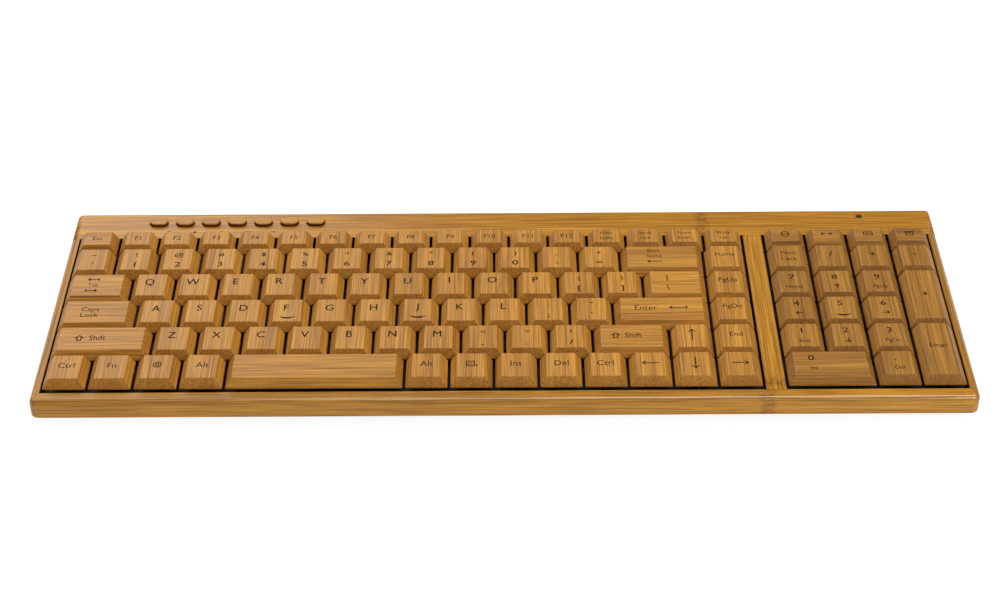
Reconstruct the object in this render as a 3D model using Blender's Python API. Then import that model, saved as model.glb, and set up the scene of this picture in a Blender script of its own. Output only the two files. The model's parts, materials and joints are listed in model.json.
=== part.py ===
"""A full-size keyboard with a bamboo frame and bamboo key tops, as separate pieces.

Lengths are in millimetres and turn into metres where a mesh is made. The keys and the frame
are laid out on a deck, a plane tilted up towards the back: x runs right, y runs back and z is
square to the deck, with z = 0 where the sloping sides of the key tops begin. The tray, the feet
and what lies under them are laid out on the level of the table, which is z = 0 there. Both have
their origin above the middle of the footprint.
"""

import math

import bmesh
import bpy
from mathutils import Vector

MM = 0.001
GAP = 0.3  # between pieces that touch

# Key layout
UNIT = 19.05  # pitch of the keys
MAIN_UNITS = 16
PAD_UNITS = 4
FULL_ROWS = 5
SHORT_ROW = 13.47  # depth of the function row
TOP_ROW_KEYS = 17  # keys that share the width of the main block in the function row
LEFT_STRETCH = 1.1  # how much wider than the pitch the main block's first units are, together
STRETCHED_UNITS = 4
DIVIDER_SPACE = 9.9  # between the main block and the number pad
SIDE_SPACE = 0.25  # between the outer key cells and the frame
FRONT_SPACE = 1.0

# Key tops
CAP_GAP = 1.2  # between two caps, at the foot of their slopes
CAP_HEIGHT = 4.0
CAP_SKIRT = 2.0
SLOPE_SIDE = 3.43  # from the cell's edge to the edge of the top face
SLOPE_FRONT = 2.92
SLOPE_BACK = 0.67
WEB = 0.8  # thickness of the strip that joins neighbouring caps
TRAVEL = 2.5
STEM = 4.0
STEM_END = -6.9

# Frame
SIDE_RAIL = 4.0
FRONT_RAIL = 6.55
REAR_RAIL = 20.6
FRAME_TOP = -0.44
FRONT_HEIGHT = 8.55
FRONT_ROUND = 2.55
REAR_ROUND = 2.0
FRONT_CORNER = 3.7
REAR_CORNER = 2.4
REAR_STRIP = 4.06  # thickness of the rear rail's top
REAR_WALL = 3.0
DIVIDER_MARGIN = 0.65

# Layers under the keys, as heights of their top faces, and thicknesses
KEY_PLATE = (-5.4, 1.2)
DOME_SHEET = (-10.0, 0.3)
MEMBRANE = (-10.6, 0.3)
BACKING = (-11.2, 0.8)
LAYER_FRONT = 4.5  # from the front edge of the key cells to the layers under the key plate
LAYER_BACK = 107.5
LAYER_SIDE = 2.6  # from the key plate's sides to the layers under it

# Hot buttons and status light
BUTTONS = 7
BUTTON_PITCH = 12.2
BUTTON_WIDTH = 8.3
BUTTON_DEPTH = 5.4
BUTTON_RISE = 1.6
BUTTON_TRAVEL = 1.0
FIRST_BUTTON = 35.0  # from the left edge of the main block
BUTTON_LINE = 8.8  # from the rear edge to the buttons' middle
BUTTON_BAR = 1.0  # thickness of the bar that joins the buttons
SWITCH_HEIGHT = 0.9
LIGHT_FROM_RIGHT = 29.7  # from the right edge of the number pad
LIGHT_FROM_BACK = 6.1
LIGHT_RADIUS = 1.2

# Stance on the table
TILT = math.radians(3.0)
RAIL_FOOT = 6.0  # height of the frame's lower edge
TRAY_BOTTOM = 1.4
TRAY_FLOOR = 1.4
STRIP_HEIGHT = 1.1

# Whole size
MAIN_WIDTH = MAIN_UNITS * UNIT + LEFT_STRETCH
INNER_WIDTH = MAIN_WIDTH + DIVIDER_SPACE + PAD_UNITS * UNIT + 2 * SIDE_SPACE
WIDTH = INNER_WIDTH + 2 * SIDE_RAIL
ROWS_DEPTH = FULL_ROWS * UNIT + SHORT_ROW
DEPTH = FRONT_RAIL + FRONT_SPACE + ROWS_DEPTH + REAR_RAIL

MAIN_LEFT = -INNER_WIDTH / 2 + SIDE_SPACE
PAD_LEFT = MAIN_LEFT + MAIN_WIDTH + DIVIDER_SPACE
PAD_RIGHT = PAD_LEFT + PAD_UNITS * UNIT
FRONT = -DEPTH / 2
ROW_FRONT = FRONT + FRONT_RAIL + FRONT_SPACE
WELL_BACK = ROW_FRONT + ROWS_DEPTH
BACK = DEPTH / 2
FRONT_FOOT = FRAME_TOP - FRONT_HEIGHT

STRIP_LOW = FRAME_TOP - REAR_STRIP
BAR_LOW = STRIP_LOW - GAP - BUTTON_BAR
BOARD = (BAR_LOW - BUTTON_TRAVEL - GAP - SWITCH_HEIGHT, 1.0)

DECK_HEIGHT = RAIL_FOOT - FRONT_FOOT * math.cos(TILT) + BACK * math.sin(TILT)
DECK_SHIFT = -0.475  # brings the middle of the footprint over the origin

BAMBOO = ("bamboo", (0.62, 0.36, 0.13), 0.45, 0.0)
BAMBOO_KEY = ("bamboo_key", (0.68, 0.42, 0.18), 0.45, 0.0)
DARK_PLASTIC = ("dark_plastic", (0.03, 0.025, 0.02), 0.55, 0.0)
RUBBER = ("rubber", (0.05, 0.05, 0.05), 0.85, 0.0)
DOME_RUBBER = ("dome_rubber", (0.7, 0.7, 0.68), 0.6, 0.0)
FILM = ("contact_film", (0.55, 0.6, 0.5), 0.35, 0.0)
STEEL = ("steel", (0.6, 0.6, 0.6), 0.35, 1.0)
BOARD_GREEN = ("circuit_board", (0.05, 0.2, 0.08), 0.45, 0.0)
LENS = ("smoked_lens", (0.08, 0.02, 0.02), 0.15, 0.0)
CELL_WRAP = ("battery_wrap", (0.1, 0.1, 0.12), 0.4, 0.0)


def deck_to_world(x, y, z):
    """The world point, in millimetres, of a point on the deck."""
    cos, sin = math.cos(TILT), math.sin(TILT)
    return x, y * cos - z * sin + DECK_SHIFT, y * sin + z * cos + DECK_HEIGHT


def deck_z(y, height):
    """The deck height, over the deck's line y, of the level plane at this world height."""
    return (height - DECK_HEIGHT - y * math.sin(TILT)) / math.cos(TILT)


def material(kind):
    name, colour, roughness, metallic = kind
    made = bpy.data.materials.get(name)
    if made is None:
        made = bpy.data.materials.new(name)
        made.use_nodes = True
        shader = made.node_tree.nodes["Principled BSDF"]
        shader.inputs["Base Color"].default_value = (*colour, 1.0)
        shader.inputs["Roughness"].default_value = roughness
        shader.inputs["Metallic"].default_value = metallic
    return made


def mesh_from(points, faces):
    """A closed mesh with its faces pointing out, from points in millimetres."""
    bm = bmesh.new()
    made = [bm.verts.new(Vector(p) * MM) for p in points]
    for face in faces:
        bm.faces.new([made[i] for i in face])
    bmesh.ops.recalc_face_normals(bm, faces=bm.faces)
    mesh = bpy.data.meshes.new("mesh")
    bm.to_mesh(mesh)
    bm.free()
    return mesh


def place(name, mesh, kind, parent=None, at=(0, 0, 0)):
    """An object for one piece, whose mesh is measured from the point at."""
    mesh.name = name
    thing = bpy.data.objects.new(name, mesh)
    bpy.context.scene.collection.objects.link(thing)
    mesh.materials.append(material(kind))
    thing.parent = parent
    thing.location = Vector(at) * MM
    return thing


def tool(thing, target, operation):
    """Makes this object a hidden tool that is joined to the target or cut from it."""
    thing.hide_render = True
    thing.display_type = "WIRE"
    boolean = target.modifiers.new(thing.name, "BOOLEAN")
    boolean.operation = operation
    boolean.solver = "EXACT"
    boolean.object = thing


def height_at(level, x, y):
    return level(x, y) if callable(level) else level


def prism(outline, low, high):
    """Points and faces of an upright prism. Each end is level, or follows a function of x and y."""
    count = len(outline)
    points = [(x, y, height_at(low, x, y)) for x, y in outline]
    points += [(x, y, height_at(high, x, y)) for x, y in outline]
    faces = [tuple(range(count)), tuple(range(count, 2 * count))]
    faces += [
        (i, (i + 1) % count, count + (i + 1) % count, count + i) for i in range(count)
    ]
    return points, faces


def rectangle(x0, x1, y0, y1):
    return [(x0, y0), (x1, y0), (x1, y1), (x0, y1)]


def box(x0, x1, y0, y1, low, high):
    return prism(rectangle(x0, x1, y0, y1), low, high)


def joined(shapes):
    """One list of points and faces from several, which stay separate shells."""
    points, faces = [], []
    for more_points, more_faces in shapes:
        start = len(points)
        points += more_points
        faces += [tuple(start + i for i in face) for face in more_faces]
    return points, faces


def arc(centre, radius, start, end, steps):
    """Points round a centre, from one angle in degrees to another."""
    made = []
    for i in range(steps + 1):
        turn = math.radians(start + (end - start) * i / steps)
        made.append(
            (
                centre[0] + radius * math.cos(turn),
                centre[1] + radius * math.sin(turn),
            )
        )
    return made


def stadium(x, y, width, depth, steps=4):
    """An outline with straight long sides and round ends."""
    radius = depth / 2
    reach = width / 2 - radius
    return arc((x + reach, y), radius, -90, 90, steps) + arc(
        (x - reach, y), radius, 90, 270, steps
    )


def rod(x0, x1, y, z, radius, sides):
    """A round bar along x."""
    ring = arc((y, z), radius, 0, 360 - 360 / sides, sides - 1)
    points = [(x, a, b) for x in (x0, x1) for a, b in ring]
    faces = [tuple(range(sides)), tuple(range(sides, 2 * sides))]
    faces += [
        (i, (i + 1) % sides, sides + (i + 1) % sides, sides + i) for i in range(sides)
    ]
    return points, faces


def cylinder(x, y, low, high, radius, sides):
    return prism(arc((x, y), radius, 0, 360 - 360 / sides, sides - 1), low, high)


def round_edges(mesh, chosen, radius, steps):
    """Rounds the edges that a test of their two ends, in millimetres, picks out."""
    bm = bmesh.new()
    bm.from_mesh(mesh)
    picked = [e for e in bm.edges if chosen(*(v.co / MM for v in e.verts))]
    bmesh.ops.bevel(
        bm,
        geom=picked,
        offset=radius * MM,
        offset_type="OFFSET",
        segments=steps,
        profile=0.5,
        affect="EDGES",
        clamp_overlap=False,
    )
    bmesh.ops.recalc_face_normals(bm, faces=bm.faces)
    bm.to_mesh(mesh)
    bm.free()


# Keys


def cap_rings(cell, at):
    """The corner rings of one cap and its stem, from the key's own middle."""
    x0, x1, y0, y1 = cell
    half = CAP_GAP / 2
    foot = rectangle(x0 + half, x1 - half, y0 + half, y1 - half)
    top = rectangle(x0 + SLOPE_SIDE, x1 - SLOPE_SIDE, y0 + SLOPE_FRONT, y1 - SLOPE_BACK)
    mid_x, mid_y = (x0 + x1) / 2, (y0 + y1) / 2
    stem = rectangle(
        mid_x - STEM / 2, mid_x + STEM / 2, mid_y - STEM / 2, mid_y + STEM / 2
    )
    rings = [
        (foot, -CAP_SKIRT),
        (foot, WEB - CAP_SKIRT),
        (foot, 0.0),
        (top, CAP_HEIGHT),
        (stem, -CAP_SKIRT),
        (stem, STEM_END),
    ]
    return [(x - at[0], y - at[1], z) for ring, z in rings for x, y in ring]


def key_shape(cells, at, in_column=False):
    """A key, or a row or column of keys whose caps are joined low down by thin webs.

    Each cap has six rings of four corners: two rings round the web's thickness, the foot of the
    slopes, the top face, and the two ends of the stem.
    """
    near, far = ((3, 2), (0, 1)) if in_column else ((1, 2), (0, 3))
    low, web, foot, top, stem, end = range(0, 24, 4)
    points, faces = [], []
    for i, cell in enumerate(cells):
        start = len(points)
        points += cap_rings(cell, at)
        sides = [(k, (k + 1) % 4) for k in range(4)]
        for below, above in ((web, foot), (foot, top), (low, stem), (stem, end)):
            faces += [
                (start + below + a, start + below + b, start + above + b, start + above + a)
                for a, b in sides
            ]
        faces += [tuple(start + top + k for k in range(4))]
        faces += [tuple(start + end + k for k in range(4))]
        joins_next = i + 1 < len(cells)
        for a, b in sides:
            if joins_next and {a, b} == set(near) or i and {a, b} == set(far):
                continue
            faces.append((start + low + a, start + low + b, start + web + b, start + web + a))
        if joins_next:
            here = [start + ring + k for ring in (low, web) for k in near]
            there = [start + 24 + ring + k for ring in (low, web) for k in far]
            for a, b in ((0, 1), (2, 3), (0, 2), (1, 3)):
                faces.append((here[a], here[b], there[b], there[a]))
    return points, faces


def row_limits(row):
    """Front and back of a row of key cells, where row 0 is the one nearest the user."""
    front = ROW_FRONT + row * UNIT
    return front, front + (SHORT_ROW if row == FULL_ROWS else UNIT)


def main_line(units):
    """The x of the line this many units into the main block."""
    return MAIN_LEFT + units * UNIT + LEFT_STRETCH * min(1.0, units / STRETCHED_UNITS)


def top_line(keys):
    """The x of the line after this many keys of the function row, whose first key is wider."""
    return MAIN_LEFT + keys * MAIN_UNITS / TOP_ROW_KEYS * UNIT + LEFT_STRETCH * min(1.0, keys)


def pad_line(units):
    return PAD_LEFT + units * UNIT


def run_of_keys(line, start, count, width, row):
    y0, y1 = row_limits(row)
    return [
        (line(start + i * width), line(start + (i + 1) * width), y0, y1) for i in range(count)
    ]


# (name, first unit from the left, number of keys, width of each in units), row by row
MAIN_KEYS = [
    [
        ("left_modifier_keys", 0, 4, 1),
        ("space_bar", 4, 1, 4),
        ("right_modifier_keys", 8, 5, 1),
        ("lower_arrow_keys", 13, 3, 1),
    ],
    [
        ("left_shift_key", 0, 1, 2.25),
        ("zxcvb_keys", 2.25, 5, 1),
        ("nm_keys", 7.25, 5, 1),
        ("right_shift_key", 12.25, 1, 1.75),
        ("up_arrow_key", 14, 1, 1),
    ],
    [
        ("caps_lock_key", 0, 1, 1.75),
        ("asdfg_keys", 1.75, 5, 1),
        ("hjkl_keys", 6.75, 6, 1),
        ("enter_key", 12.75, 1, 2.25),
    ],
    [
        ("tab_key", 0, 1, 1.5),
        ("qwert_keys", 1.5, 5, 1),
        ("yuiop_keys", 6.5, 7, 1),
        ("backslash_key", 13.5, 1, 1.5),
    ],
    [
        ("left_number_keys", 0, 6, 1),
        ("right_number_keys", 6, 7, 1),
        ("backspace_key", 13, 1, 2),
    ],
]
FUNCTION_KEYS = [
    ("escape_key", 0, 1),
    ("f1_to_f4_keys", 1, 4),
    ("f5_to_f8_keys", 5, 4),
    ("f9_to_f12_keys", 9, 4),
    ("system_keys", 13, 4),
]
PAD_KEYS = [
    [("numpad_zero_key", 0, 1, 2), ("numpad_point_key", 2, 1, 1)],
    [("numpad_123_keys", 0, 3, 1)],
    [("numpad_456_keys", 0, 3, 1)],
    [("numpad_789_keys", 0, 3, 1)],
    [("numpad_operator_keys", 0, 4, 1)],
    [("numpad_media_keys", 0, 4, 1)],
]
TALL_KEYS = [("numpad_enter_key", 0), ("numpad_plus_key", 2)]
NAVIGATION_ROWS = range(1, 5)


def all_keys():
    """Every key node as (name, cells, whether the cells run in a column)."""
    keys = []
    for row, runs in enumerate(MAIN_KEYS):
        for name, start, count, width in runs:
            keys.append((name, run_of_keys(main_line, start, count, width, row), False))
    for name, start, count in FUNCTION_KEYS:
        keys.append((name, run_of_keys(top_line, start, count, 1, FULL_ROWS), False))
    for row, runs in enumerate(PAD_KEYS):
        for name, start, count, width in runs:
            keys.append((name, run_of_keys(pad_line, start, count, width, row), False))
    for name, row in TALL_KEYS:
        y0, y1 = row_limits(row)[0], row_limits(row + 1)[1]
        keys.append((name, [(PAD_RIGHT - UNIT, PAD_RIGHT, y0, y1)], False))
    column = [run_of_keys(main_line, 15, 1, 1, row)[0] for row in NAVIGATION_ROWS]
    keys.append(("navigation_keys", column, True))
    return keys


def middle(cells):
    x0, x1 = cells[0][0], cells[-1][1]
    y0, y1 = cells[0][2], cells[-1][3]
    return (x0 + x1) / 2, (y0 + y1) / 2


def make_keys(deck, keys):
    made = {}
    for name, cells, in_column in keys:
        at = middle(cells)
        shape = key_shape(cells, at, in_column)
        made[name] = place(name, mesh_from(*shape), BAMBOO_KEY, deck, (*at, 0))
    return made


# Space bar's stabiliser: a bent wire that turns in two hooks on the key plate

POCKET_WALL = 1.6
POCKET_TOP = 1.0
WIRE_RADIUS = 0.5
WIRE_ARM = 7.0
WIRE_HALF = 26.0
WIRE_END = 3.5
WIRE_BEHIND = 5.0  # from the space bar's middle back to the wire's axis
WIRE_HEIGHT = -3.35
TAB_INNER, TAB_OUTER = 23.0, 24.5
TAB_WALL = 1.1  # from a slot to its tab's front, back and lower edges
SLOT_FRONT, SLOT_BACK = 0.8, 1.0  # the wire's room in a slot, from its rest
EYE = 0.8  # half width of the wire's room in the slots and the hooks
HOOK_AT = 15.0
HOOK_HALF = 1.0
HOOK_REACH = 1.6
HOOK_TOP = 1.45  # above the wire's axis
TAB_CLEARANCE = 0.4
BITE = 0.5  # how far a joined shape reaches into the one it joins
THROUGH = 1.0  # how far a cut reaches past the face it goes through


def hollow_space_bar(deck, space_bar, cell):
    """Cuts the space bar's underside hollow, leaving its stem, and adds two slotted tabs."""
    half = CAP_GAP / 2 + POCKET_WALL
    x0, x1, y0, y1 = cell
    mid_x, mid_y = (x0 + x1) / 2, (y0 + y1) / 2
    low, reach = -CAP_SKIRT - THROUGH, STEM / 2
    outer = rectangle(x0 + half, x1 - half, y0 + half, y1 - half)
    inner = rectangle(mid_x - reach, mid_x + reach, mid_y - reach, mid_y + reach)
    rings = [(outer, low), (outer, POCKET_TOP), (inner, POCKET_TOP), (inner, low)]
    points = [(x, y, z) for ring, z in rings for x, y in ring]
    faces = []
    for ring in range(4):
        after = (ring + 1) % 4
        for k in range(4):
            n = (k + 1) % 4
            faces.append((4 * ring + k, 4 * ring + n, 4 * after + n, 4 * after + k))
    pocket = place("space_bar_pocket", mesh_from(points, faces), DARK_PLASTIC, deck)
    tool(pocket, space_bar, "DIFFERENCE")

    end_y = mid_y + WIRE_BEHIND - WIRE_ARM
    end_z = WIRE_HEIGHT + TRAVEL / 2
    tabs, slots = [], []
    for side in (-1, 1):
        a, b = sorted((mid_x + side * TAB_INNER, mid_x + side * TAB_OUTER))
        front, back = end_y - SLOT_FRONT, end_y + SLOT_BACK
        tabs.append(
            box(a, b, front - TAB_WALL, back + TAB_WALL, end_z - EYE - TAB_WALL, POCKET_TOP + BITE)
        )
        slots.append(box(a - THROUGH, b + THROUGH, front, back, end_z - EYE, end_z + EYE))
    tab = place("space_bar_tabs", mesh_from(*joined(tabs)), DARK_PLASTIC, deck)
    tool(tab, space_bar, "UNION")
    slot = place("space_bar_slots", mesh_from(*joined(slots)), DARK_PLASTIC, deck)
    tool(slot, space_bar, "DIFFERENCE")


def stabiliser_wire(deck, cell):
    """The wire, with its origin on its own axis and its arms raised by half the key's travel."""
    mid_x, mid_y = (cell[0] + cell[1]) / 2, (cell[2] + cell[3]) / 2
    rise = TRAVEL / 2
    forward = -math.sqrt(WIRE_ARM**2 - rise**2)
    route = [
        (-WIRE_HALF + WIRE_END, forward, rise),
        (-WIRE_HALF, forward, rise),
        (-WIRE_HALF, 0, 0),
        (WIRE_HALF, 0, 0),
        (WIRE_HALF, forward, rise),
        (WIRE_HALF - WIRE_END, forward, rise),
    ]
    curve = bpy.data.curves.new("space_stabiliser", "CURVE")
    curve.dimensions = "3D"
    curve.bevel_depth = WIRE_RADIUS * MM
    curve.bevel_resolution = 1
    curve.use_fill_caps = True
    spline = curve.splines.new("POLY")
    spline.points.add(len(route) - 1)
    for point, where in zip(spline.points, route):
        point.co = (*(Vector(where) * MM), 1)
    curve.materials.append(material(STEEL))
    wire = bpy.data.objects.new("space_stabiliser", curve)
    bpy.context.scene.collection.objects.link(wire)
    wire.parent = deck
    wire.location = Vector((mid_x, mid_y + WIRE_BEHIND, WIRE_HEIGHT)) * MM


def make_hooks(deck, plate, cell):
    """Two eyes on the key plate that hold the stabiliser, and windows for the bar's tabs."""
    mid_x, mid_y = (cell[0] + cell[1]) / 2, (cell[2] + cell[3]) / 2
    wire_y, end_y = mid_y + WIRE_BEHIND, mid_y + WIRE_BEHIND - WIRE_ARM
    plate_top, plate_thick = KEY_PLATE
    hooks, windows = [], []
    for side in (-1, 1):
        x = mid_x + side * HOOK_AT
        hooks.append(
            box(
                x - HOOK_HALF,
                x + HOOK_HALF,
                wire_y - HOOK_REACH,
                wire_y + HOOK_REACH,
                plate_top - BITE,
                WIRE_HEIGHT + HOOK_TOP,
            )
        )
        a, b = sorted((mid_x + side * TAB_INNER, mid_x + side * TAB_OUTER))
        windows.append(
            box(
                a - TAB_CLEARANCE,
                b + TAB_CLEARANCE,
                end_y - SLOT_FRONT - TAB_WALL - TAB_CLEARANCE,
                end_y + SLOT_BACK + TAB_WALL + TAB_CLEARANCE,
                plate_top - plate_thick - THROUGH,
                plate_top + THROUGH,
            )
        )
    windows.append(
        box(
            mid_x - HOOK_AT - HOOK_HALF - THROUGH,
            mid_x + HOOK_AT + HOOK_HALF + THROUGH,
            wire_y - EYE,
            wire_y + EYE,
            WIRE_HEIGHT - EYE,
            WIRE_HEIGHT + EYE,
        )
    )
    hook = place("wire_hooks", mesh_from(*joined(hooks)), DARK_PLASTIC, deck)
    tool(hook, plate, "UNION")
    window = place("wire_windows", mesh_from(*joined(windows)), DARK_PLASTIC, deck)
    tool(window, plate, "DIFFERENCE")


# Layers under the keys

HOLE_CLEARANCE = 0.35
PLATE_RIB = 1.2
RIB_MARGIN = 0.4  # from the layers' edges to the key plate's ribs
DOME_RADIUS = 3.0
DOME_RISE = 0.3
TAIL_WIDTH = 16.0
TAIL_LENGTH = 6.0


def stem_centres(keys):
    return [((x0 + x1) / 2, (y0 + y1) / 2) for _, cells, _ in keys for x0, x1, y0, y1 in cells]


def make_layers(deck, keys, space_cell):
    left, right = -INNER_WIDTH / 2 + GAP, INNER_WIDTH / 2 - GAP
    top, thick = KEY_PLATE
    plate = place(
        "key_plate",
        mesh_from(*box(left, right, ROW_FRONT - FRONT_SPACE + GAP, WELL_BACK - GAP, top - thick, top)),
        DARK_PLASTIC,
        deck,
    )
    front, back = ROW_FRONT + LAYER_FRONT, ROW_FRONT + LAYER_BACK
    low = DOME_SHEET[0] + GAP
    ribs = [
        box(left + LAYER_SIDE, right - LAYER_SIDE, y, y + PLATE_RIB, low, top - thick / 2)
        for y in (front + RIB_MARGIN, back - RIB_MARGIN - PLATE_RIB)
    ]
    rib = place("key_plate_ribs", mesh_from(*joined(ribs)), DARK_PLASTIC, deck)
    tool(rib, plate, "UNION")
    reach = STEM / 2 + HOLE_CLEARANCE
    holes = [
        box(x - reach, x + reach, y - reach, y + reach, top - thick - THROUGH, top + THROUGH)
        for x, y in stem_centres(keys)
    ]
    hole = place("stem_holes", mesh_from(*joined(holes)), DARK_PLASTIC, deck)
    tool(hole, plate, "DIFFERENCE")
    make_hooks(deck, plate, space_cell)

    sheet_top, sheet = DOME_SHEET
    domes = place(
        "dome_sheet",
        mesh_from(*box(left + LAYER_SIDE, right - LAYER_SIDE, front, back, sheet_top - sheet, sheet_top)),
        DOME_RUBBER,
        deck,
    )
    bumps = [
        cylinder(x, y, sheet_top - sheet / 2, sheet_top + DOME_RISE, DOME_RADIUS, 6)
        for x, y in stem_centres(keys)
    ]
    bump = place("dome_bumps", mesh_from(*joined(bumps)), DOME_RUBBER, deck)
    tool(bump, domes, "UNION")

    film_top, film = MEMBRANE
    tail_left = PAD_LEFT
    outline = [
        (left + LAYER_SIDE, front),
        (right - LAYER_SIDE, front),
        (right - LAYER_SIDE, back),
        (tail_left + TAIL_WIDTH, back),
        (tail_left + TAIL_WIDTH, back + TAIL_LENGTH),
        (tail_left, back + TAIL_LENGTH),
        (tail_left, back),
        (left + LAYER_SIDE, back),
    ]
    place("contact_membrane", mesh_from(*prism(outline, film_top - film, film_top)), FILM, deck)
    steel_top, steel = BACKING
    place(
        "backing_plate",
        mesh_from(*box(left + LAYER_SIDE, right - LAYER_SIDE, front, back, steel_top - steel, steel_top)),
        STEEL,
        deck,
    )


# Frame


def rail_foot(x, y):
    return deck_z(y, RAIL_FOOT)


def corner_arcs(side, steps=3):
    """The front corner's outer curve at one side, as its front half and its side half."""
    centre = (side * (WIDTH / 2 - FRONT_CORNER), FRONT + FRONT_CORNER)
    if side > 0:
        return (
            arc(centre, FRONT_CORNER, 270, 315, steps),
            arc(centre, FRONT_CORNER, 315, 360, steps),
        )
    return arc(centre, FRONT_CORNER, 270, 225, steps), arc(centre, FRONT_CORNER, 225, 180, steps)


SAME = 0.02  # points nearer than this count as level or in line


def on_top(a, b):
    return min(a.z, b.z) > FRAME_TOP - SAME


def make_rails(deck):
    well_front = ROW_FRONT - FRONT_SPACE
    inner = INNER_WIDTH / 2
    shift = GAP / 2
    right_front, right_side = corner_arcs(1)
    left_front, left_side = corner_arcs(-1)

    def front_outer(a, b):
        return on_top(a, b) and max(a.y, b.y) < well_front - SAME

    def side_outer(a, b):
        beyond_inner = min(abs(a.x), abs(b.x)) > inner + SAME
        return on_top(a, b) and beyond_inner and abs(a.y - b.y) > SAME

    outline = [(-inner + shift, well_front), (inner - shift, well_front)]
    outline += [(x - shift, y) for x, y in reversed(right_front)]
    outline += [(x + shift, y) for x, y in left_front]
    mesh = mesh_from(*prism(outline, FRONT_FOOT, FRAME_TOP))
    round_edges(mesh, front_outer, FRONT_ROUND, 3)
    place("front_rail", mesh, BAMBOO, deck)

    for name, side, curve in (("left_rail", -1, left_side), ("right_rail", 1, right_side)):
        outline = [(side * inner, WELL_BACK - GAP), (side * inner, well_front + shift)]
        outline += [(x, y + shift) for x, y in curve]
        outline += [(side * WIDTH / 2, WELL_BACK - GAP)]
        mesh = mesh_from(*prism(outline, rail_foot, FRAME_TOP))
        round_edges(mesh, side_outer, FRONT_ROUND, 3)
        place(name, mesh, BAMBOO, deck)

    x0 = PAD_LEFT - DIVIDER_SPACE + DIVIDER_MARGIN
    x1 = PAD_LEFT - DIVIDER_MARGIN
    shape = box(x0, x1, well_front + GAP, WELL_BACK - GAP, KEY_PLATE[0] + GAP, FRAME_TOP)
    place("centre_rail", mesh_from(*shape), BAMBOO, deck)


SCREW_PLACES = [(-60.0, 56.0), (96.0, 56.0)]
POST_RADIUS = 2.8
POST_TOP = 18.5  # within the thickness of the rail's top
PILOT_RADIUS = 1.35
SCREW_RADIUS = 1.0
SCREW_LENGTH = 8.0
HEAD_RADIUS = 2.4
LENS_SINK = 0.5  # from the frame's top down to the lens
LENS_FLANGE = 1.0
BAR_MARGIN = 0.6  # from the buttons' sides to the edge of their bar
BAR_END = 5.0  # from the outer buttons' middles to the ends of their bar


def button_places():
    left = MAIN_LEFT + FIRST_BUTTON
    return [(left + i * BUTTON_PITCH, BACK - BUTTON_LINE) for i in range(BUTTONS)]


def make_rear_rail(deck):
    half = WIDTH / 2
    outline = [(-half, WELL_BACK), (half, WELL_BACK)]
    outline += arc((half - REAR_CORNER, BACK - REAR_CORNER), REAR_CORNER, 0, 90, 3)
    outline += arc((REAR_CORNER - half, BACK - REAR_CORNER), REAR_CORNER, 90, 180, 3)
    mesh = mesh_from(*prism(outline, rail_foot, FRAME_TOP))

    def rear_outer(a, b):
        return on_top(a, b) and max(a.y, b.y) > WELL_BACK + SAME

    round_edges(mesh, rear_outer, REAR_ROUND, 3)
    rail = place("rear_rail", mesh, BAMBOO, deck)
    inside = place(
        "rear_rail_inside",
        mesh_from(
            *box(
                SIDE_RAIL - half,
                half - SIDE_RAIL,
                WELL_BACK - THROUGH,
                BACK - REAR_WALL,
                STRIP_LOW - DECK_HEIGHT,
                STRIP_LOW,
            )
        ),
        BAMBOO,
        deck,
    )
    tool(inside, rail, "DIFFERENCE")

    post_low = TRAY_BOTTOM + TRAY_FLOOR + GAP
    posts = [cylinder(x, y, post_low, POST_TOP, POST_RADIUS, 8) for x, y in SCREW_PLACES]
    post = place("rear_rail_posts", mesh_from(*joined(posts)), BAMBOO)
    tool(post, rail, "UNION")
    pilots = [
        cylinder(x, y, post_low - THROUGH, post_low + SCREW_LENGTH, PILOT_RADIUS, 8)
        for x, y in SCREW_PLACES
    ]
    pilot = place("rear_rail_pilots", mesh_from(*joined(pilots)), BAMBOO)
    tool(pilot, rail, "DIFFERENCE")

    low, high = STRIP_LOW - THROUGH, FRAME_TOP + THROUGH
    holes = [
        prism(stadium(x, y, BUTTON_WIDTH + 2 * GAP, BUTTON_DEPTH + 2 * GAP), low, high)
        for x, y in button_places()
    ]
    light = (PAD_RIGHT - LIGHT_FROM_RIGHT, BACK - LIGHT_FROM_BACK)
    holes.append(cylinder(*light, low, high, LIGHT_RADIUS + GAP, 12))
    hole = place("rear_rail_holes", mesh_from(*joined(holes)), BAMBOO, deck)
    tool(hole, rail, "DIFFERENCE")

    flange = STRIP_LOW - GAP
    lens = place(
        "status_lens",
        mesh_from(*cylinder(*light, flange - BITE, FRAME_TOP - LENS_SINK, LIGHT_RADIUS, 12)),
        LENS,
        deck,
    )
    ring = place(
        "status_lens_flange",
        mesh_from(*cylinder(*light, flange - LENS_FLANGE, flange, LIGHT_RADIUS + LENS_FLANGE, 12)),
        LENS,
        deck,
    )
    tool(ring, lens, "UNION")


def make_buttons(deck):
    """The hot buttons, joined under the rail by a bar."""
    places = button_places()
    at = ((places[0][0] + places[-1][0]) / 2, places[0][1], 0)
    bar_top = BAR_LOW + BUTTON_BAR
    reach = places[-1][0] - at[0] + BAR_END
    half = BUTTON_DEPTH / 2 + BAR_MARGIN
    bar = box(-reach, reach, -half, half, BAR_LOW, bar_top)
    buttons = place("hot_buttons", mesh_from(*bar), BAMBOO_KEY, deck, at)
    caps = [
        prism(
            stadium(x, y, BUTTON_WIDTH, BUTTON_DEPTH), bar_top - BITE, FRAME_TOP + BUTTON_RISE
        )
        for x, y in places
    ]
    cap = place("hot_button_caps", mesh_from(*joined(caps)), BAMBOO_KEY, deck)
    tool(cap, buttons, "UNION")


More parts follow.
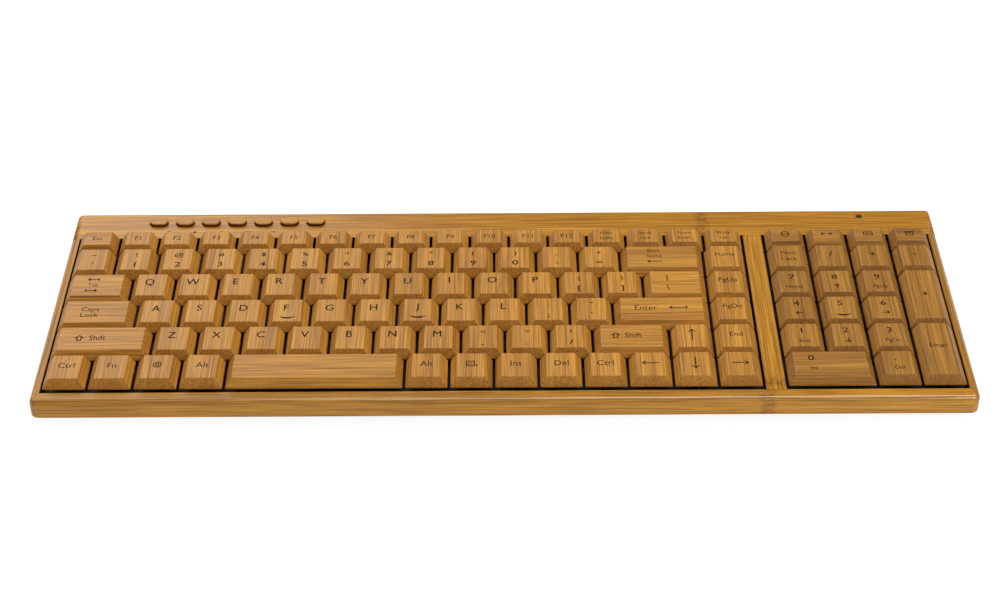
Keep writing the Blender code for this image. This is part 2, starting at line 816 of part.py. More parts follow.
BOARD_FRONT = 5.5  # from the back of the key wells
BOARD_BACK = 0.7  # from the rear wall
BUTTON_BOARD_END = 7.0  # from the outer buttons' middles
CONTROLLER_BOARD = (106.0, 176.0)
PROCESSOR = (122.0, 130.0, 2.0, 9.0, 1.2)  # x limits, front and back on the board, height
CRYSTAL = (138.0, 143.0, 3.0, 6.0, 1.6)
SWITCH_HALF = 2.0
LIGHT_HALF, LIGHT_HEIGHT = 1.3, 1.8


def make_boards(deck):
    top, thick = BOARD
    places = button_places()
    back, front = BACK - REAR_WALL - BOARD_BACK, WELL_BACK + BOARD_FRONT
    left, right = places[0][0] - BUTTON_BOARD_END, places[-1][0] + BUTTON_BOARD_END
    board = place(
        "button_board",
        mesh_from(*box(left, right, front, back, top - thick, top)),
        BOARD_GREEN,
        deck,
    )
    half = SWITCH_HALF
    switches = [
        box(x - half, x + half, y - half, y + half, top - BITE, top + SWITCH_HEIGHT)
        for x, y in places
    ]
    switch = place("button_switches", mesh_from(*joined(switches)), DARK_PLASTIC, deck)
    tool(switch, board, "UNION")

    board = place(
        "controller_board",
        mesh_from(*box(*CONTROLLER_BOARD, front, back, top - thick, top)),
        BOARD_GREEN,
        deck,
    )
    parts = [
        box(x0, x1, front + y0, front + y1, top - BITE, top + height)
        for x0, x1, y0, y1, height in (PROCESSOR, CRYSTAL)
    ]
    x, y = PAD_RIGHT - LIGHT_FROM_RIGHT, BACK - LIGHT_FROM_BACK
    half = LIGHT_HALF
    parts.append(box(x - half, x + half, y - half, y + half, top - BITE, top + LIGHT_HEIGHT))
    part = place("controller_parts", mesh_from(*joined(parts)), DARK_PLASTIC, deck)
    tool(part, board, "UNION")


# Tray and what is fixed to it, on the level of the table

RIM_INSET = 1.2
FOOT_INSET_FRONT = 9.0
FOOT_INSET_SIDE = 3.5
FOOT_INSET_BACK = 5.0
TRAY_WALL = 2.0
TRAY_CORNER = 4.0
INNER_INSET = 1.5  # from the floor's outer edge to its inner edge
RIB_PLACES = (-150.0, -75.0, 0.0, 75.0, 150.0)
RIB_FRONT, RIB_BACK = -48.0, 44.0
RIB_HALF = 0.8
RIB_LEVEL = BACKING[0] - BACKING[1] - GAP
FOOT_X = 172.0
FOOT_AXIS = (58.0, 3.2)
FOOT_HALF = 13.0
FOOT_LENGTH = 16.0
FOOT_BARREL = 1.5
FOOT_PLATE_TOP = 0.9  # above the foot's axis
FOOT_CLEARANCE = 0.4
FOOT_WALL = 1.6  # of the housing over and beside a foot
FOOT_STUB = (1.2, 0.7)  # length and radius of the pins at the barrel's ends
STUB_CLEARANCE = 0.35
BAY = (-12.0, 84.0, 49.0, 61.0)
CELL_RADIUS = 5.25
CELL_LENGTH = 44.5
SWITCH_AT = (-35.0, 55.0)
CELL_SHIFT = 1.0  # from the middle of the bay back to the batteries' axis
CELL_TIP = (0.8, 1.9)  # length and radius of a battery's end
BAY_WALL = (0.8, 1.2, 9.0)  # distance from the bay, thickness and top of its end walls
DOOR = 1.2
SWITCH_TRAVEL = 2.4
SWITCH_PLATE = (4.2, 2.8, 1.1)  # half width, half depth and thickness
SWITCH_NUB = (1.6, 1.5, 0.6)  # half width, half depth and height of its lower end
BOARD_POSTS = [(-150.0, 58.0), (-98.0, 58.0), (114.0, 58.0), (148.0, 58.0)]
BOARD_POST_RADIUS = 1.8
HEAD_LOW = 0.25
GRIP_STRIPS = [
    ("front_grip_strip", 150.0, -56.0, -48.0),
    ("rear_grip_strip", 140.0, 36.0, 44.0),
]


def rounded_rectangle(x0, x1, y0, y1, radius, steps=3):
    return (
        arc((x1 - radius, y0 + radius), radius, 270, 360, steps)
        + arc((x1 - radius, y1 - radius), radius, 0, 90, steps)
        + arc((x0 + radius, y1 - radius), radius, 90, 180, steps)
        + arc((x0 + radius, y0 + radius), radius, 180, 270, steps)
    )


def tray_shell():
    """An open pan with sloping walls, as rings from the floor's underside round to its inside."""
    front = deck_to_world(0, FRONT, FRONT_FOOT)[1]
    back = deck_to_world(0, BACK, deck_z(BACK, RAIL_FOOT))[1]
    half = WIDTH / 2
    rim = RAIL_FOOT - GAP
    floor = TRAY_BOTTOM + TRAY_FLOOR

    def ring(side, at_front, at_back, height):
        outline = rounded_rectangle(
            side - half, half - side, front + at_front, back - at_back, TRAY_CORNER
        )
        return [(x, y, height) for x, y in outline]

    inner = RIM_INSET + TRAY_WALL
    rings = [
        ring(FOOT_INSET_SIDE, FOOT_INSET_FRONT, FOOT_INSET_BACK, TRAY_BOTTOM),
        ring(RIM_INSET, RIM_INSET, RIM_INSET, rim),
        ring(inner, inner, inner, rim),
        ring(
            FOOT_INSET_SIDE + INNER_INSET,
            FOOT_INSET_FRONT + INNER_INSET,
            FOOT_INSET_BACK + INNER_INSET,
            floor,
        ),
    ]
    count = len(rings[0])
    points = [p for r in rings for p in r]
    faces = [tuple(range(count)), tuple(range(3 * count, 4 * count))]
    for r in range(3):
        for i in range(count):
            n = (i + 1) % count
            a, b = r * count, (r + 1) * count
            faces.append((a + i, a + n, b + n, b + i))
    return points, faces


def make_tray():
    tray = place("bottom_tray", mesh_from(*tray_shell()), DARK_PLASTIC)
    floor = TRAY_BOTTOM + TRAY_FLOOR
    inside = floor - BITE

    def rib_top(x, y):
        on_deck = (y - DECK_SHIFT) / math.cos(TILT) + RIB_LEVEL * math.tan(TILT)
        return deck_to_world(0, on_deck, RIB_LEVEL)[2]

    added = [
        box(x - RIB_HALF, x + RIB_HALF, RIB_FRONT, RIB_BACK, inside, rib_top) for x in RIB_PLACES
    ]
    axis_y, axis_z = FOOT_AXIS
    pocket_half = FOOT_HALF + FOOT_CLEARANCE
    pocket_front = axis_y - FOOT_LENGTH - FOOT_CLEARANCE
    pocket_back = axis_y + FOOT_BARREL + FOOT_CLEARANCE
    pocket_top = axis_z + FOOT_BARREL + FOOT_CLEARANCE
    for x in (-FOOT_X, FOOT_X):
        added.append(
            box(
                x - pocket_half - FOOT_WALL,
                x + pocket_half + FOOT_WALL,
                pocket_front - FOOT_WALL,
                pocket_back + FOOT_WALL,
                inside,
                pocket_top + FOOT_WALL,
            )
        )
    away, thick, top = BAY_WALL
    for x in (BAY[0] - away - thick, BAY[1] + away):
        added.append(box(x, x + thick, BAY[2], BAY[3], inside, top))
    for x, y in BOARD_POSTS:
        on_deck = (y - DECK_SHIFT) / math.cos(TILT)
        top = deck_to_world(0, on_deck, BOARD[0] - BOARD[1] - 2 * GAP)[2]
        added.append(cylinder(x, y, inside, top, BOARD_POST_RADIUS, 8))
    extra = place("tray_ribs", mesh_from(*joined(added)), DARK_PLASTIC)
    tool(extra, tray, "UNION")

    low, high = TRAY_BOTTOM - THROUGH, floor + THROUGH
    cuts = [
        box(x - pocket_half, x + pocket_half, pocket_front, pocket_back, low, pocket_top)
        for x in (-FOOT_X, FOOT_X)
    ]
    cuts.append(box(*BAY, low, high))
    x, y = SWITCH_AT
    reach = SWITCH_TRAVEL / 2 + SWITCH_NUB[0] + GAP
    half = SWITCH_NUB[1] + GAP
    cuts.append(box(x - reach, x + reach, y - half, y + half, low, high))
    cuts += [
        cylinder(x, y, low, high, SCREW_RADIUS + FOOT_CLEARANCE, 8) for x, y in SCREW_PLACES
    ]
    cut = place("tray_openings", mesh_from(*joined(cuts)), DARK_PLASTIC)
    tool(cut, tray, "DIFFERENCE")
    reach = FOOT_HALF + FOOT_STUB[0] + GAP
    radius = FOOT_STUB[1] + STUB_CLEARANCE
    pins = [rod(x - reach, x + reach, *FOOT_AXIS, radius, 8) for x in (-FOOT_X, FOOT_X)]
    pin = place("tray_pin_holes", mesh_from(*joined(pins)), DARK_PLASTIC)
    tool(pin, tray, "DIFFERENCE")


def make_feet():
    for name, side in (("left_tilt_foot", -1), ("right_tilt_foot", 1)):
        at = (side * FOOT_X, *FOOT_AXIS)
        plate = box(-FOOT_HALF, FOOT_HALF, -FOOT_LENGTH, 0, -FOOT_BARREL, FOOT_PLATE_TOP)
        foot = place(name, mesh_from(*plate), DARK_PLASTIC, None, at)
        barrel = rod(-FOOT_HALF, FOOT_HALF, 0, 0, FOOT_BARREL, 12)
        reach = FOOT_HALF + FOOT_STUB[0]
        stubs = rod(-reach, reach, 0, 0, FOOT_STUB[1], 8)
        for label, shape in (("barrel", barrel), ("stubs", stubs)):
            extra = place(f"{name}_{label}", mesh_from(*shape), DARK_PLASTIC, None, at)
            tool(extra, foot, "UNION")


def make_battery_bay():
    x0, x1, y0, y1 = BAY
    at = (0, y0 + GAP, TRAY_BOTTOM)
    door = box(x0 + GAP, x1 - GAP, 0, y1 - y0 - 2 * GAP, 0, DOOR)
    place("battery_door", mesh_from(*door), DARK_PLASTIC, None, at)
    y = (y0 + y1) / 2 + CELL_SHIFT
    tip_length, tip_radius = CELL_TIP
    z = TRAY_BOTTOM + TRAY_FLOOR + GAP + CELL_RADIUS
    start = (x0 + x1) / 2 - CELL_LENGTH - GAP / 2
    for i, name in enumerate(("left_battery", "right_battery")):
        left = start + i * (CELL_LENGTH + GAP)
        body = rod(left, left + CELL_LENGTH - tip_length, y, z, CELL_RADIUS, 14)
        battery = place(name, mesh_from(*body), CELL_WRAP)
        tip = rod(left + CELL_LENGTH / 2, left + CELL_LENGTH, y, z, tip_radius, 8)
        nub = place(f"{name}_nub", mesh_from(*tip), STEEL)
        tool(nub, battery, "UNION")


def make_small_parts():
    x, y = SWITCH_AT
    low = TRAY_BOTTOM + TRAY_FLOOR + GAP
    at = (x - SWITCH_TRAVEL / 2, y, 0)
    half_x, half_y, thick = SWITCH_PLATE
    plate = box(-half_x, half_x, -half_y, half_y, low, low + thick)
    slider = place("power_switch", mesh_from(*plate), DARK_PLASTIC, None, at)
    half_x, half_y, nub_low = SWITCH_NUB
    nub = box(-half_x, half_x, -half_y, half_y, nub_low, low + BITE)
    nub = place("power_switch_nub", mesh_from(*nub), DARK_PLASTIC, None, at)
    tool(nub, slider, "UNION")
    for name, (x, y) in zip(("left_case_screw", "right_case_screw"), SCREW_PLACES):
        head_top = TRAY_BOTTOM - GAP
        head = cylinder(0, 0, HEAD_LOW, head_top, HEAD_RADIUS, 12)
        screw = place(name, mesh_from(*head), STEEL, None, (x, y, 0))
        shaft = cylinder(0, 0, head_top - BITE, head_top + SCREW_LENGTH, SCREW_RADIUS, 8)
        pin = place(f"{name}_shaft", mesh_from(*shaft), STEEL, None, (x, y, 0))
        tool(pin, screw, "UNION")
    for name, half, front, back in GRIP_STRIPS:
        place(name, mesh_from(*box(-half, half, front, back, 0, STRIP_HEIGHT)), RUBBER)


def main():
    for thing in list(bpy.data.objects):
        bpy.data.objects.remove(thing, do_unlink=True)
    deck = bpy.data.objects.new("deck", None)
    bpy.context.scene.collection.objects.link(deck)
    deck.location = Vector((0, DECK_SHIFT, DECK_HEIGHT)) * MM
    deck.rotation_euler = (TILT, 0, 0)

    keys = all_keys()
    made = make_keys(deck, keys)
    space_cell = run_of_keys(main_line, 4, 1, 4, 0)[0]
    hollow_space_bar(deck, made["space_bar"], space_cell)
    stabiliser_wire(deck, space_cell)
    make_layers(deck, keys, space_cell)
    make_rails(deck)
    make_rear_rail(deck)
    make_buttons(deck)
    make_boards(deck)
    make_tray()
    make_feet()
    make_battery_bay()
    make_small_parts()


main()
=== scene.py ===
"""Looks for the bamboo keyboard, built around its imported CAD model.

Lengths are in millimetres and turn into metres where a mesh or a place is written. Shapes are
worked out on the deck: x runs right, y runs back up its slope and z is square to it.
"""

import json
import math
import random

import bmesh
import bpy
from mathutils import Matrix, Vector


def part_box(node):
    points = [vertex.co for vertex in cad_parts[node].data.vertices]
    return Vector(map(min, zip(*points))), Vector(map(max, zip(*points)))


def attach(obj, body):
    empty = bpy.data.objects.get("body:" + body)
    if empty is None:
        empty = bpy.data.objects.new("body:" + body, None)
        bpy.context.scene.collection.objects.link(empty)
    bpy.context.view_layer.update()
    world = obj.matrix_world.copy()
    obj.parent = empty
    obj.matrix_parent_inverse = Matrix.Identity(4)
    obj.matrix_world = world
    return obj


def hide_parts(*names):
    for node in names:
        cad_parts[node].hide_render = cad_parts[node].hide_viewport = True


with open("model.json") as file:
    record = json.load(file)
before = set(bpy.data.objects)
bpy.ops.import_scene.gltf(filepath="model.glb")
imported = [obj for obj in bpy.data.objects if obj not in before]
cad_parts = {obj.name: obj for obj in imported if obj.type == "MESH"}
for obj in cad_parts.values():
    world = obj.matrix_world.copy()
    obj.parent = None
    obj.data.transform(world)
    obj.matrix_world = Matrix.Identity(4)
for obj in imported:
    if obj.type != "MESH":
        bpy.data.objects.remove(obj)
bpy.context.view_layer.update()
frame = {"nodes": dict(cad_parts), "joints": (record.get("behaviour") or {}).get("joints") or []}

MM = 0.001
nodes = frame["nodes"]
press = next(j for j in frame["joints"] if j["name"] == "escape_key_press")
TILT = math.atan2(press["axis"][1], -press["axis"][2])
DECK = Matrix.Rotation(TILT, 4, "X")
SAME = 0.02  # nearer places count as one
OVER = 1.0  # how far a cutter stands out of what it cuts

# Caps
EDGE = 0.28  # radius of a cap's edges
EDGE_STEPS = 2
WALL = 0.62  # height of the upright wall round a cap's foot
GRAIN_ALONG_X = 1.4  # the grain of a cap this many times as wide as deep is along x
CAP_TONES = (0.20, 0.45)
PAD_SHADE = 1.05  # painted shade: added to darken the number pad's caps, as the light falls off towards the right
COLLAR_RADIUS = 3.2
COLLAR_SIDES = 20
COLLAR = 0.5  # thickness of the collar round a stem
STEM_HALF = 2.0
STEM_TAPER = 0.25
STEM_END_HEIGHT = 0.6  # of its taper, and from its top to the collar's
INTO_CAP = 0.4  # how far a collar reaches into its cap

# The hollow space bar and the two lugs for its wire
HOLLOW_WALL = 1.6
HOLLOW_TOP = 19.56  # height of the ceiling
WIRE = 1.4
LUG_INSET = 2.6  # from the wire's end to the middle of a lug
LUG_HALF_WIDTH = 0.75
LUG_HALF_DEPTH = 2.0
LUG_FLOOR = 1.1
WINDOW_HALF_DEPTH = 0.9
WINDOW = (15.66, 17.26)  # heights of a lug's opening

# Legends: heights of a capital letter or a digit
LETTER = 4.1
WORD = 3.3
DIGIT = 3.3
SMALL_WORD = 2.9
FUNCTION_WORD = 2.8
SYMBOL = DIGIT * 0.82
NARROW_WORD = 2.6
LOCK_WORD = 2.5
TINY_WORD = 2.2
SYSTEM_WORD = 1.9
CAPITAL = 0.682  # height of a capital in the font, as a share of its size

# Legends: places and cuts
LETTER_LEFT = -0.8  # letters stand a little left of the middle
ARROW_SHARE = 0.46  # from the back edge to a lone drawn mark, as a share of the depth
STROKE = 0.5  # width of a drawn line
FINE_STROKE = STROKE * 0.8
WEIGHT = 0.13  # how far the second pass, which thickens a letter, moves over
BURN_DEPTH = 0.2
HOMING_DEPTH = 0.35
BURN_OVER = 0.5  # how far the cutters of a cap's marks stand out of it

# Bamboo
KNOT_SPACING = 1000.0  # along the grain, so that a piece has one knot at most
KNOT_HALF_WIDTHS = (0.8, 4.6)  # of its dark core, and out to where it ends
KNOT_WANDER = 7.0  # how far a knot strays from a straight line
GRAIN_DRIFT = 0.9  # how far a bundle strays from a straight line
TONE_START = 1.08  # brightness of a piece in tone 0
TONE_SLOPE = -0.26
GLOSS_RANGE = 0.12  # how much rougher the fibres can be
CELL_LENGTH = 44.8  # of a battery

# Frame
ROUND = 2.55  # radius of the rails' outer upper edges
ROUND_STEPS = 8
FRONT_CORNER = 3.7
REAR_CORNER = 2.4
CORNER_STEPS = 8
SOFT_EDGE = 0.22  # radius of the rails' other edges
SOFT_STEPS = 3
FRONT_TRIM = 0.2  # taken off the front rail's inner side
HALF_LINE = 0.02  # half the width of the line where two rails meet
SIDE_STRETCH = 0.2  # added to the back of the side rails and the divider
REAR_TRIM = 0.1  # taken off the rear rail's inner side
SIDE_WALL = 4.0
REAR_WALL = 3.0
STRIP = 4.06  # thickness of the rear rail's top
HOLE_DEPTH = 8
HOLE_GAP = 0.3  # round a hot button and the lens
LENS_RADIUS = 1.2
ICON_PLACE = (5.2, -7.0)  # from the middle of a hot button
BUTTON_SPACE = 3.0  # the space between two hot buttons is wider
BUTTON_EDGE = 0.45
BUTTON_BAR = 1.0  # thickness of the bar under the hot buttons
BUTTON_SEAM = 0.01

# Each rail's node, tones at its left and right end, and its knot's place from its middle. The tones
# are partly painted light and shade: the front rail is paler towards its right end, where the front
# lamp lights it, and the rear rail and the right rail are darker towards the right, where less
# light falls
RAILS = {
    "front_bamboo_rail": ("front_rail", (1.0, 0.3), 111.0),
    "left_bamboo_rail": ("left_rail", (0.35, 0.35), None),
    "right_bamboo_rail": ("right_rail", (0.8, 0.8), None),
    "divider_bamboo_rail": ("centre_rail", (0.4, 0.4), -50.0),
    "rear_bamboo_rail": ("rear_rail", (0.2, 0.7), 92.0),
}
BUTTON_TONES = (0.3, 0.3)

# Studio, in metres, watts and degrees
FLOOR_HALF = 6.0
WORLD_STRENGTH = 0.27
LIGHTS = {  # place, aim, width, depth and power
    "rear_light": ((-0.85, 1.1, 1.0), (0, 0, 0), 1.5, 0.8, 13.5),
    "top_light": ((0.33, 0.05, 1.1), (0.05, 0, 0), 0.5, 1.2, 7.2),
    "front_light": ((0.80, -0.90, 0.85), (0.1, 0, 0), 0.6, 0.3, 4.6),
}
CAMERA_PLACE = (0.00117, -0.76220, 0.54959)
CAMERA_TURN = (0.218, 55.099, -0.443)  # yaw, pitch and roll
CAMERA_LENS = 75.12  # mm, with a sensor 36 mm wide

random.seed(19)


# Coordinates


def deck_points(node):
    """The node's points in deck coordinates, in millimetres."""
    to_deck = DECK.inverted()
    return [(to_deck @ v.co) / MM for v in nodes[node].data.vertices]


def deck_box(node):
    points = deck_points(node)
    low = Vector([min(p[i] for p in points) for i in range(3)])
    high = Vector([max(p[i] for p in points) for i in range(3)])
    return low, high


def distinct(values):
    """The different values among these, in order."""
    found = []
    for value in sorted(values):
        if not found or value - found[-1] > SAME:
            found.append(value)
    return found


def cap_sizes():
    """The top face's inset from the foot at the sides, front and back, and the heights."""
    points = deck_points("escape_key")
    stem_end, _, foot, top = distinct(p.z for p in points)
    upper = [p for p in points if abs(p.z - top) < SAME]
    lower = [p for p in points if abs(p.z - foot) < SAME]
    side = min(p.x for p in upper) - min(p.x for p in lower)
    front = min(p.y for p in upper) - min(p.y for p in lower)
    back = max(p.y for p in lower) - max(p.y for p in upper)
    return side, front, back, top, foot, stem_end


INSET_SIDE, INSET_FRONT, INSET_BACK, TOP, FOOT, STEM_END = cap_sizes()
SKIRT = FOOT - WALL


def top_faces(node):
    """The limits (x0, x1, y0, y1) of each cap's top face, left to right or front to back."""
    upper = [p for p in deck_points(node) if abs(p.z - TOP) < SAME]
    xs = distinct(p.x for p in upper)
    ys = distinct(p.y for p in upper)
    return [
        (xs[i], xs[i + 1], ys[k], ys[k + 1])
        for k in range(0, len(ys), 2)
        for i in range(0, len(xs), 2)
    ]


# Meshes


def arc(centre, radius, start, end, steps):
    """Points round a centre, from one angle in degrees to another."""
    turns = [math.radians(start + (end - start) * i / steps) for i in range(steps + 1)]
    return [(centre[0] + radius * math.cos(t), centre[1] + radius * math.sin(t)) for t in turns]


def rectangle(x0, x1, y0, y1):
    return [(x0, y0), (x1, y0), (x1, y1), (x0, y1)]


def stadium(x, y, width, depth, steps=10):
    radius = depth / 2
    reach = width / 2 - radius
    right = arc((x + reach, y), radius, -90, 90, steps)
    return right + arc((x - reach, y), radius, 90, 270, steps)


def circle(x, y, radius, steps=24):
    return arc((x, y), radius, 0, 360 - 360 / steps, steps - 1)


def band(a, b, count):
    """Faces between two rings of points, which start at a and at b."""
    return [(a + i, a + (i + 1) % count, b + (i + 1) % count, b + i) for i in range(count)]


def stack(rings):
    """A closed shape through rings that have the same number of points, with flat ends."""
    count = len(rings[0])
    points = [p for ring in rings for p in ring]
    faces = [tuple(range(count)), tuple(range(len(points) - count, len(points)))]
    for r in range(len(rings) - 1):
        faces += band(r * count, (r + 1) * count, count)
    return points, faces


def prism(outline, low, high):
    """An upright solid. Its lower end is at a height, or at a function's value for each x and y."""
    foot = low if callable(low) else lambda x, y: low
    return stack([[(x, y, foot(x, y)) for x, y in outline], [(x, y, high) for x, y in outline]])


def tube(outer, inner, low, high):
    """An upright wall between two outlines with the same number of points."""
    count = len(outer)
    rings = ((outer, low), (outer, high), (inner, high), (inner, low))
    points = [(x, y, z) for ring, z in rings for x, y in ring]
    faces = []
    for r in range(4):
        faces += band(r * count, (r + 1) % 4 * count, count)
    return points, faces


def joined(shapes):
    points, faces = [], []
    for more_points, more_faces in shapes:
        start = len(points)
        points += more_points
        faces += [tuple(start + i for i in face) for face in more_faces]
    return points, faces


def shape(points, faces):
    """A bmesh, in millimetres, with its faces pointing out."""
    bm = bmesh.new()
    made = [bm.verts.new(p) for p in points]
    for face in faces:
        bm.faces.new([made[i] for i in face])
    bmesh.ops.recalc_face_normals(bm, faces=bm.faces)
    return bm


def round_off(bm, radius, steps, chosen=lambda edge: True, angle=30.0):
    """Rounds the chosen edges where two faces meet at more than this angle, in degrees."""
    bm.normal_update()
    least = math.radians(angle)
    shared = [e for e in bm.edges if len(e.link_faces) == 2]
    picked = [e for e in shared if e.calc_face_angle(0.0) > least and chosen(e)]
    facts = {"offset_type": "OFFSET", "profile": 0.5, "affect": "EDGES", "clamp_overlap": False}
    made = bmesh.ops.bevel(bm, geom=picked, offset=radius, segments=steps, **facts)
    for face in made["faces"]:
        face.smooth = True


def put_in_scene(name, data):
    made = bpy.data.objects.new(name, data)
    bpy.context.scene.collection.objects.link(made)
    return made


def piece(name, bm, materials, at=(0, 0, 0)):
    """An object from a bmesh in millimetres, measured from the point at on the deck."""
    bmesh.ops.scale(bm, vec=(MM, MM, MM), verts=bm.verts)
    mesh = bpy.data.meshes.new(name)
    bm.to_mesh(mesh)
    bm.free()
    for material in materials:
        mesh.materials.append(material)
    made = put_in_scene(name, mesh)
    made.matrix_world = DECK @ Matrix.Translation(Vector(at) * MM)
    return made


def tool(name, body, looks, look, at, shift=(0, 0, 0)):
    """A piece to cut with or to join on, all in one of the target's looks."""
    bm = shape(*body)
    for face in bm.faces:
        face.material_index = looks.index(look)
    bmesh.ops.translate(bm, vec=shift, verts=bm.verts)
    return piece(name, bm, looks, at)


def cut(target, cutter, operation="DIFFERENCE"):
    boolean = target.modifiers.new(cutter.name, "BOOLEAN")
    boolean.operation = operation
    boolean.solver = "EXACT"
    boolean.object = cutter


def settle(pieces):
    """Applies the cuts to each piece, and removes their cutters.

    A letter whose outline crosses itself can spoil a cut. Such a piece is cut again more slowly
    and, if that fails as well, without its last cut.
    """
    cutters = {m.object for made in pieces for m in made.modifiers}
    settled = final_meshes(pieces)
    for without_last in (False, True):
        failed = [m for m in pieces if outer_size(m.data) != outer_size(settled[m.name])]
        for made in failed:
            if without_last:
                made.modifiers.remove(made.modifiers[-1])
            for boolean in made.modifiers:
                boolean.use_self = True
        settled |= final_meshes(failed)
    for made in pieces:
        name = made.data.name
        made.modifiers.clear()
        made.data = settled[made.name]
        made.data.name = name
    for cutter in cutters:
        bpy.data.objects.remove(cutter)


def outer_size(mesh):
    """A mesh's limits in x and y and its highest point, in twentieths of a millimetre."""
    places = [v.co for v in mesh.vertices] or [Vector()]
    limits = [limit(p[axis] for p in places) for axis in (0, 1) for limit in (min, max)]
    return [round(v / MM * 20) for v in (*limits, max(p.z for p in places))]


def final_meshes(pieces):
    """Each piece's mesh as its modifiers leave it, by name."""
    bpy.context.view_layer.update()
    graph = bpy.context.evaluated_depsgraph_get()
    new_mesh = bpy.data.meshes.new_from_object
    return {made.name: new_mesh(made.evaluated_get(graph)) for made in pieces}


def mark_grain(made, along_x, tones_and_shade, knot=None):
    """Writes where each point lies in its own piece of bamboo, and how each face cuts the grain.

    The tones are those at its left and right end, and 0 is the palest. Part of them is painted
    light and shade, darker where less light falls. A knot, a band across a stem of bamboo, crosses
    the piece at this distance from its middle.
    """
    mesh = made.data
    shift = [random.uniform(0.3, 0.7) * KNOT_SPACING for _ in range(3)]
    if knot is not None:
        shift[0] = -knot
    first, last = tones_and_shade
    xs = [v.co.x for v in mesh.vertices]
    left, span = min(xs), max(xs) - min(xs)
    where = mesh.attributes.new("grain", "FLOAT_VECTOR", "POINT")
    for value, vertex in zip(where.data, mesh.vertices):
        x, y, z = vertex.co / MM
        along, across = (x, y) if along_x else (y, x)
        value.vector = (along + shift[0], across + shift[1], z + shift[2])
    shades = mesh.attributes.new("tone_and_shade", "FLOAT", "POINT")
    for value, x in zip(shades.data, xs):
        value.value = first + (last - first) * (x - left) / span
    cuts = mesh.attributes.new("cross_cut", "FLOAT", "FACE")
    axis = 0 if along_x else 1
    for value, face in zip(cuts.data, mesh.polygons):
        value.value = abs(face.normal[axis])


def deliver(made, body, node):
    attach(made, body)
    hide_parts(node)


# Materials


class Look:
    """A material and the nodes that lead to its shader."""

    def __init__(self, name, roughness, metallic=0.0, specular=0.5, coat=0.0):
        self.material = bpy.data.materials.new(name)
        self.material.use_nodes = True
        self.tree = self.material.node_tree
        self.shader = self.tree.nodes["Principled BSDF"]
        self.roughness(roughness)
        self.set(self.shader, "Metallic", metallic)
        self.set(self.shader, "Specular IOR Level", specular)
        self.set(self.shader, "Coat Weight", coat)

    def set(self, node, name, value):
        socket = node.inputs[name]
        if isinstance(value, bpy.types.NodeSocket):
            self.tree.links.new(value, socket)
        elif socket.type == "RGBA":
            socket.default_value = (*value, 1.0)
        else:
            socket.default_value = value

    def add(self, kind, inputs=None, **settings):
        node = self.tree.nodes.new(kind)
        for name, value in settings.items():
            setattr(node, name, value)
        for name, value in (inputs or {}).items():
            self.set(node, name, value)
        return node

    def colour(self, value):
        self.set(self.shader, "Base Color", value)

    def roughness(self, value):
        self.set(self.shader, "Roughness", value)

    def place(self):
        return self.add("ShaderNodeTexCoord").outputs["Object"]

    def attribute(self, name, output):
        return self.add("ShaderNodeAttribute", attribute_name=name).outputs[output]

    def mottle(self, scale, detail, colour, other, low=0.3, high=0.7):
        """Colours the surface, with clouds of another colour, and gives the clouds."""
        cloud = self.noise(self.place(), scale, detail)
        self.colour(self.blend(self.spread(cloud, low, high), colour, other))
        return cloud

    def math(self, operation, a, b=0.0, c=0.0):
        inputs = {0: a, 1: b, 2: c}
        return self.add("ShaderNodeMath", inputs, operation=operation).outputs[0]

    def times(self, a, b, plus=0.0):
        return self.math("MULTIPLY_ADD", a, b, plus)

    def vectors(self, operation, a, b):
        return self.add("ShaderNodeVectorMath", {0: a, 1: b}, operation=operation).outputs[0]

    def scaled(self, vector, by):
        return self.vectors("MULTIPLY", vector, by)

    def noise(self, vector, scale=1.0, detail=2.0, roughness=0.5, output="Fac"):
        inputs = {"Vector": vector, "Scale": scale, "Detail": detail, "Roughness": roughness}
        return self.add("ShaderNodeTexNoise", inputs).outputs[output]

    def spread(self, value, low, high, to_low=0.0, to_high=1.0):
        """The value's range from low to high, smoothly, as one from to_low to to_high."""
        names = ("Value", "From Min", "From Max", "To Min", "To Max")
        inputs = dict(zip(names, (value, low, high, to_low, to_high)))
        return self.add("ShaderNodeMapRange", inputs, interpolation_type="SMOOTHSTEP").outputs[0]

    def blend(self, share, a, b, how="MIX"):
        mixed = self.add("ShaderNodeMix", {0: share, 6: a, 7: b}, data_type="RGBA", blend_type=how)
        return mixed.outputs[2]

    def bump(self, height, strength, distance):
        inputs = {"Strength": strength, "Distance": distance * MM, "Height": height}
        self.set(self.shader, "Normal", self.add("ShaderNodeBump", inputs).outputs[0])


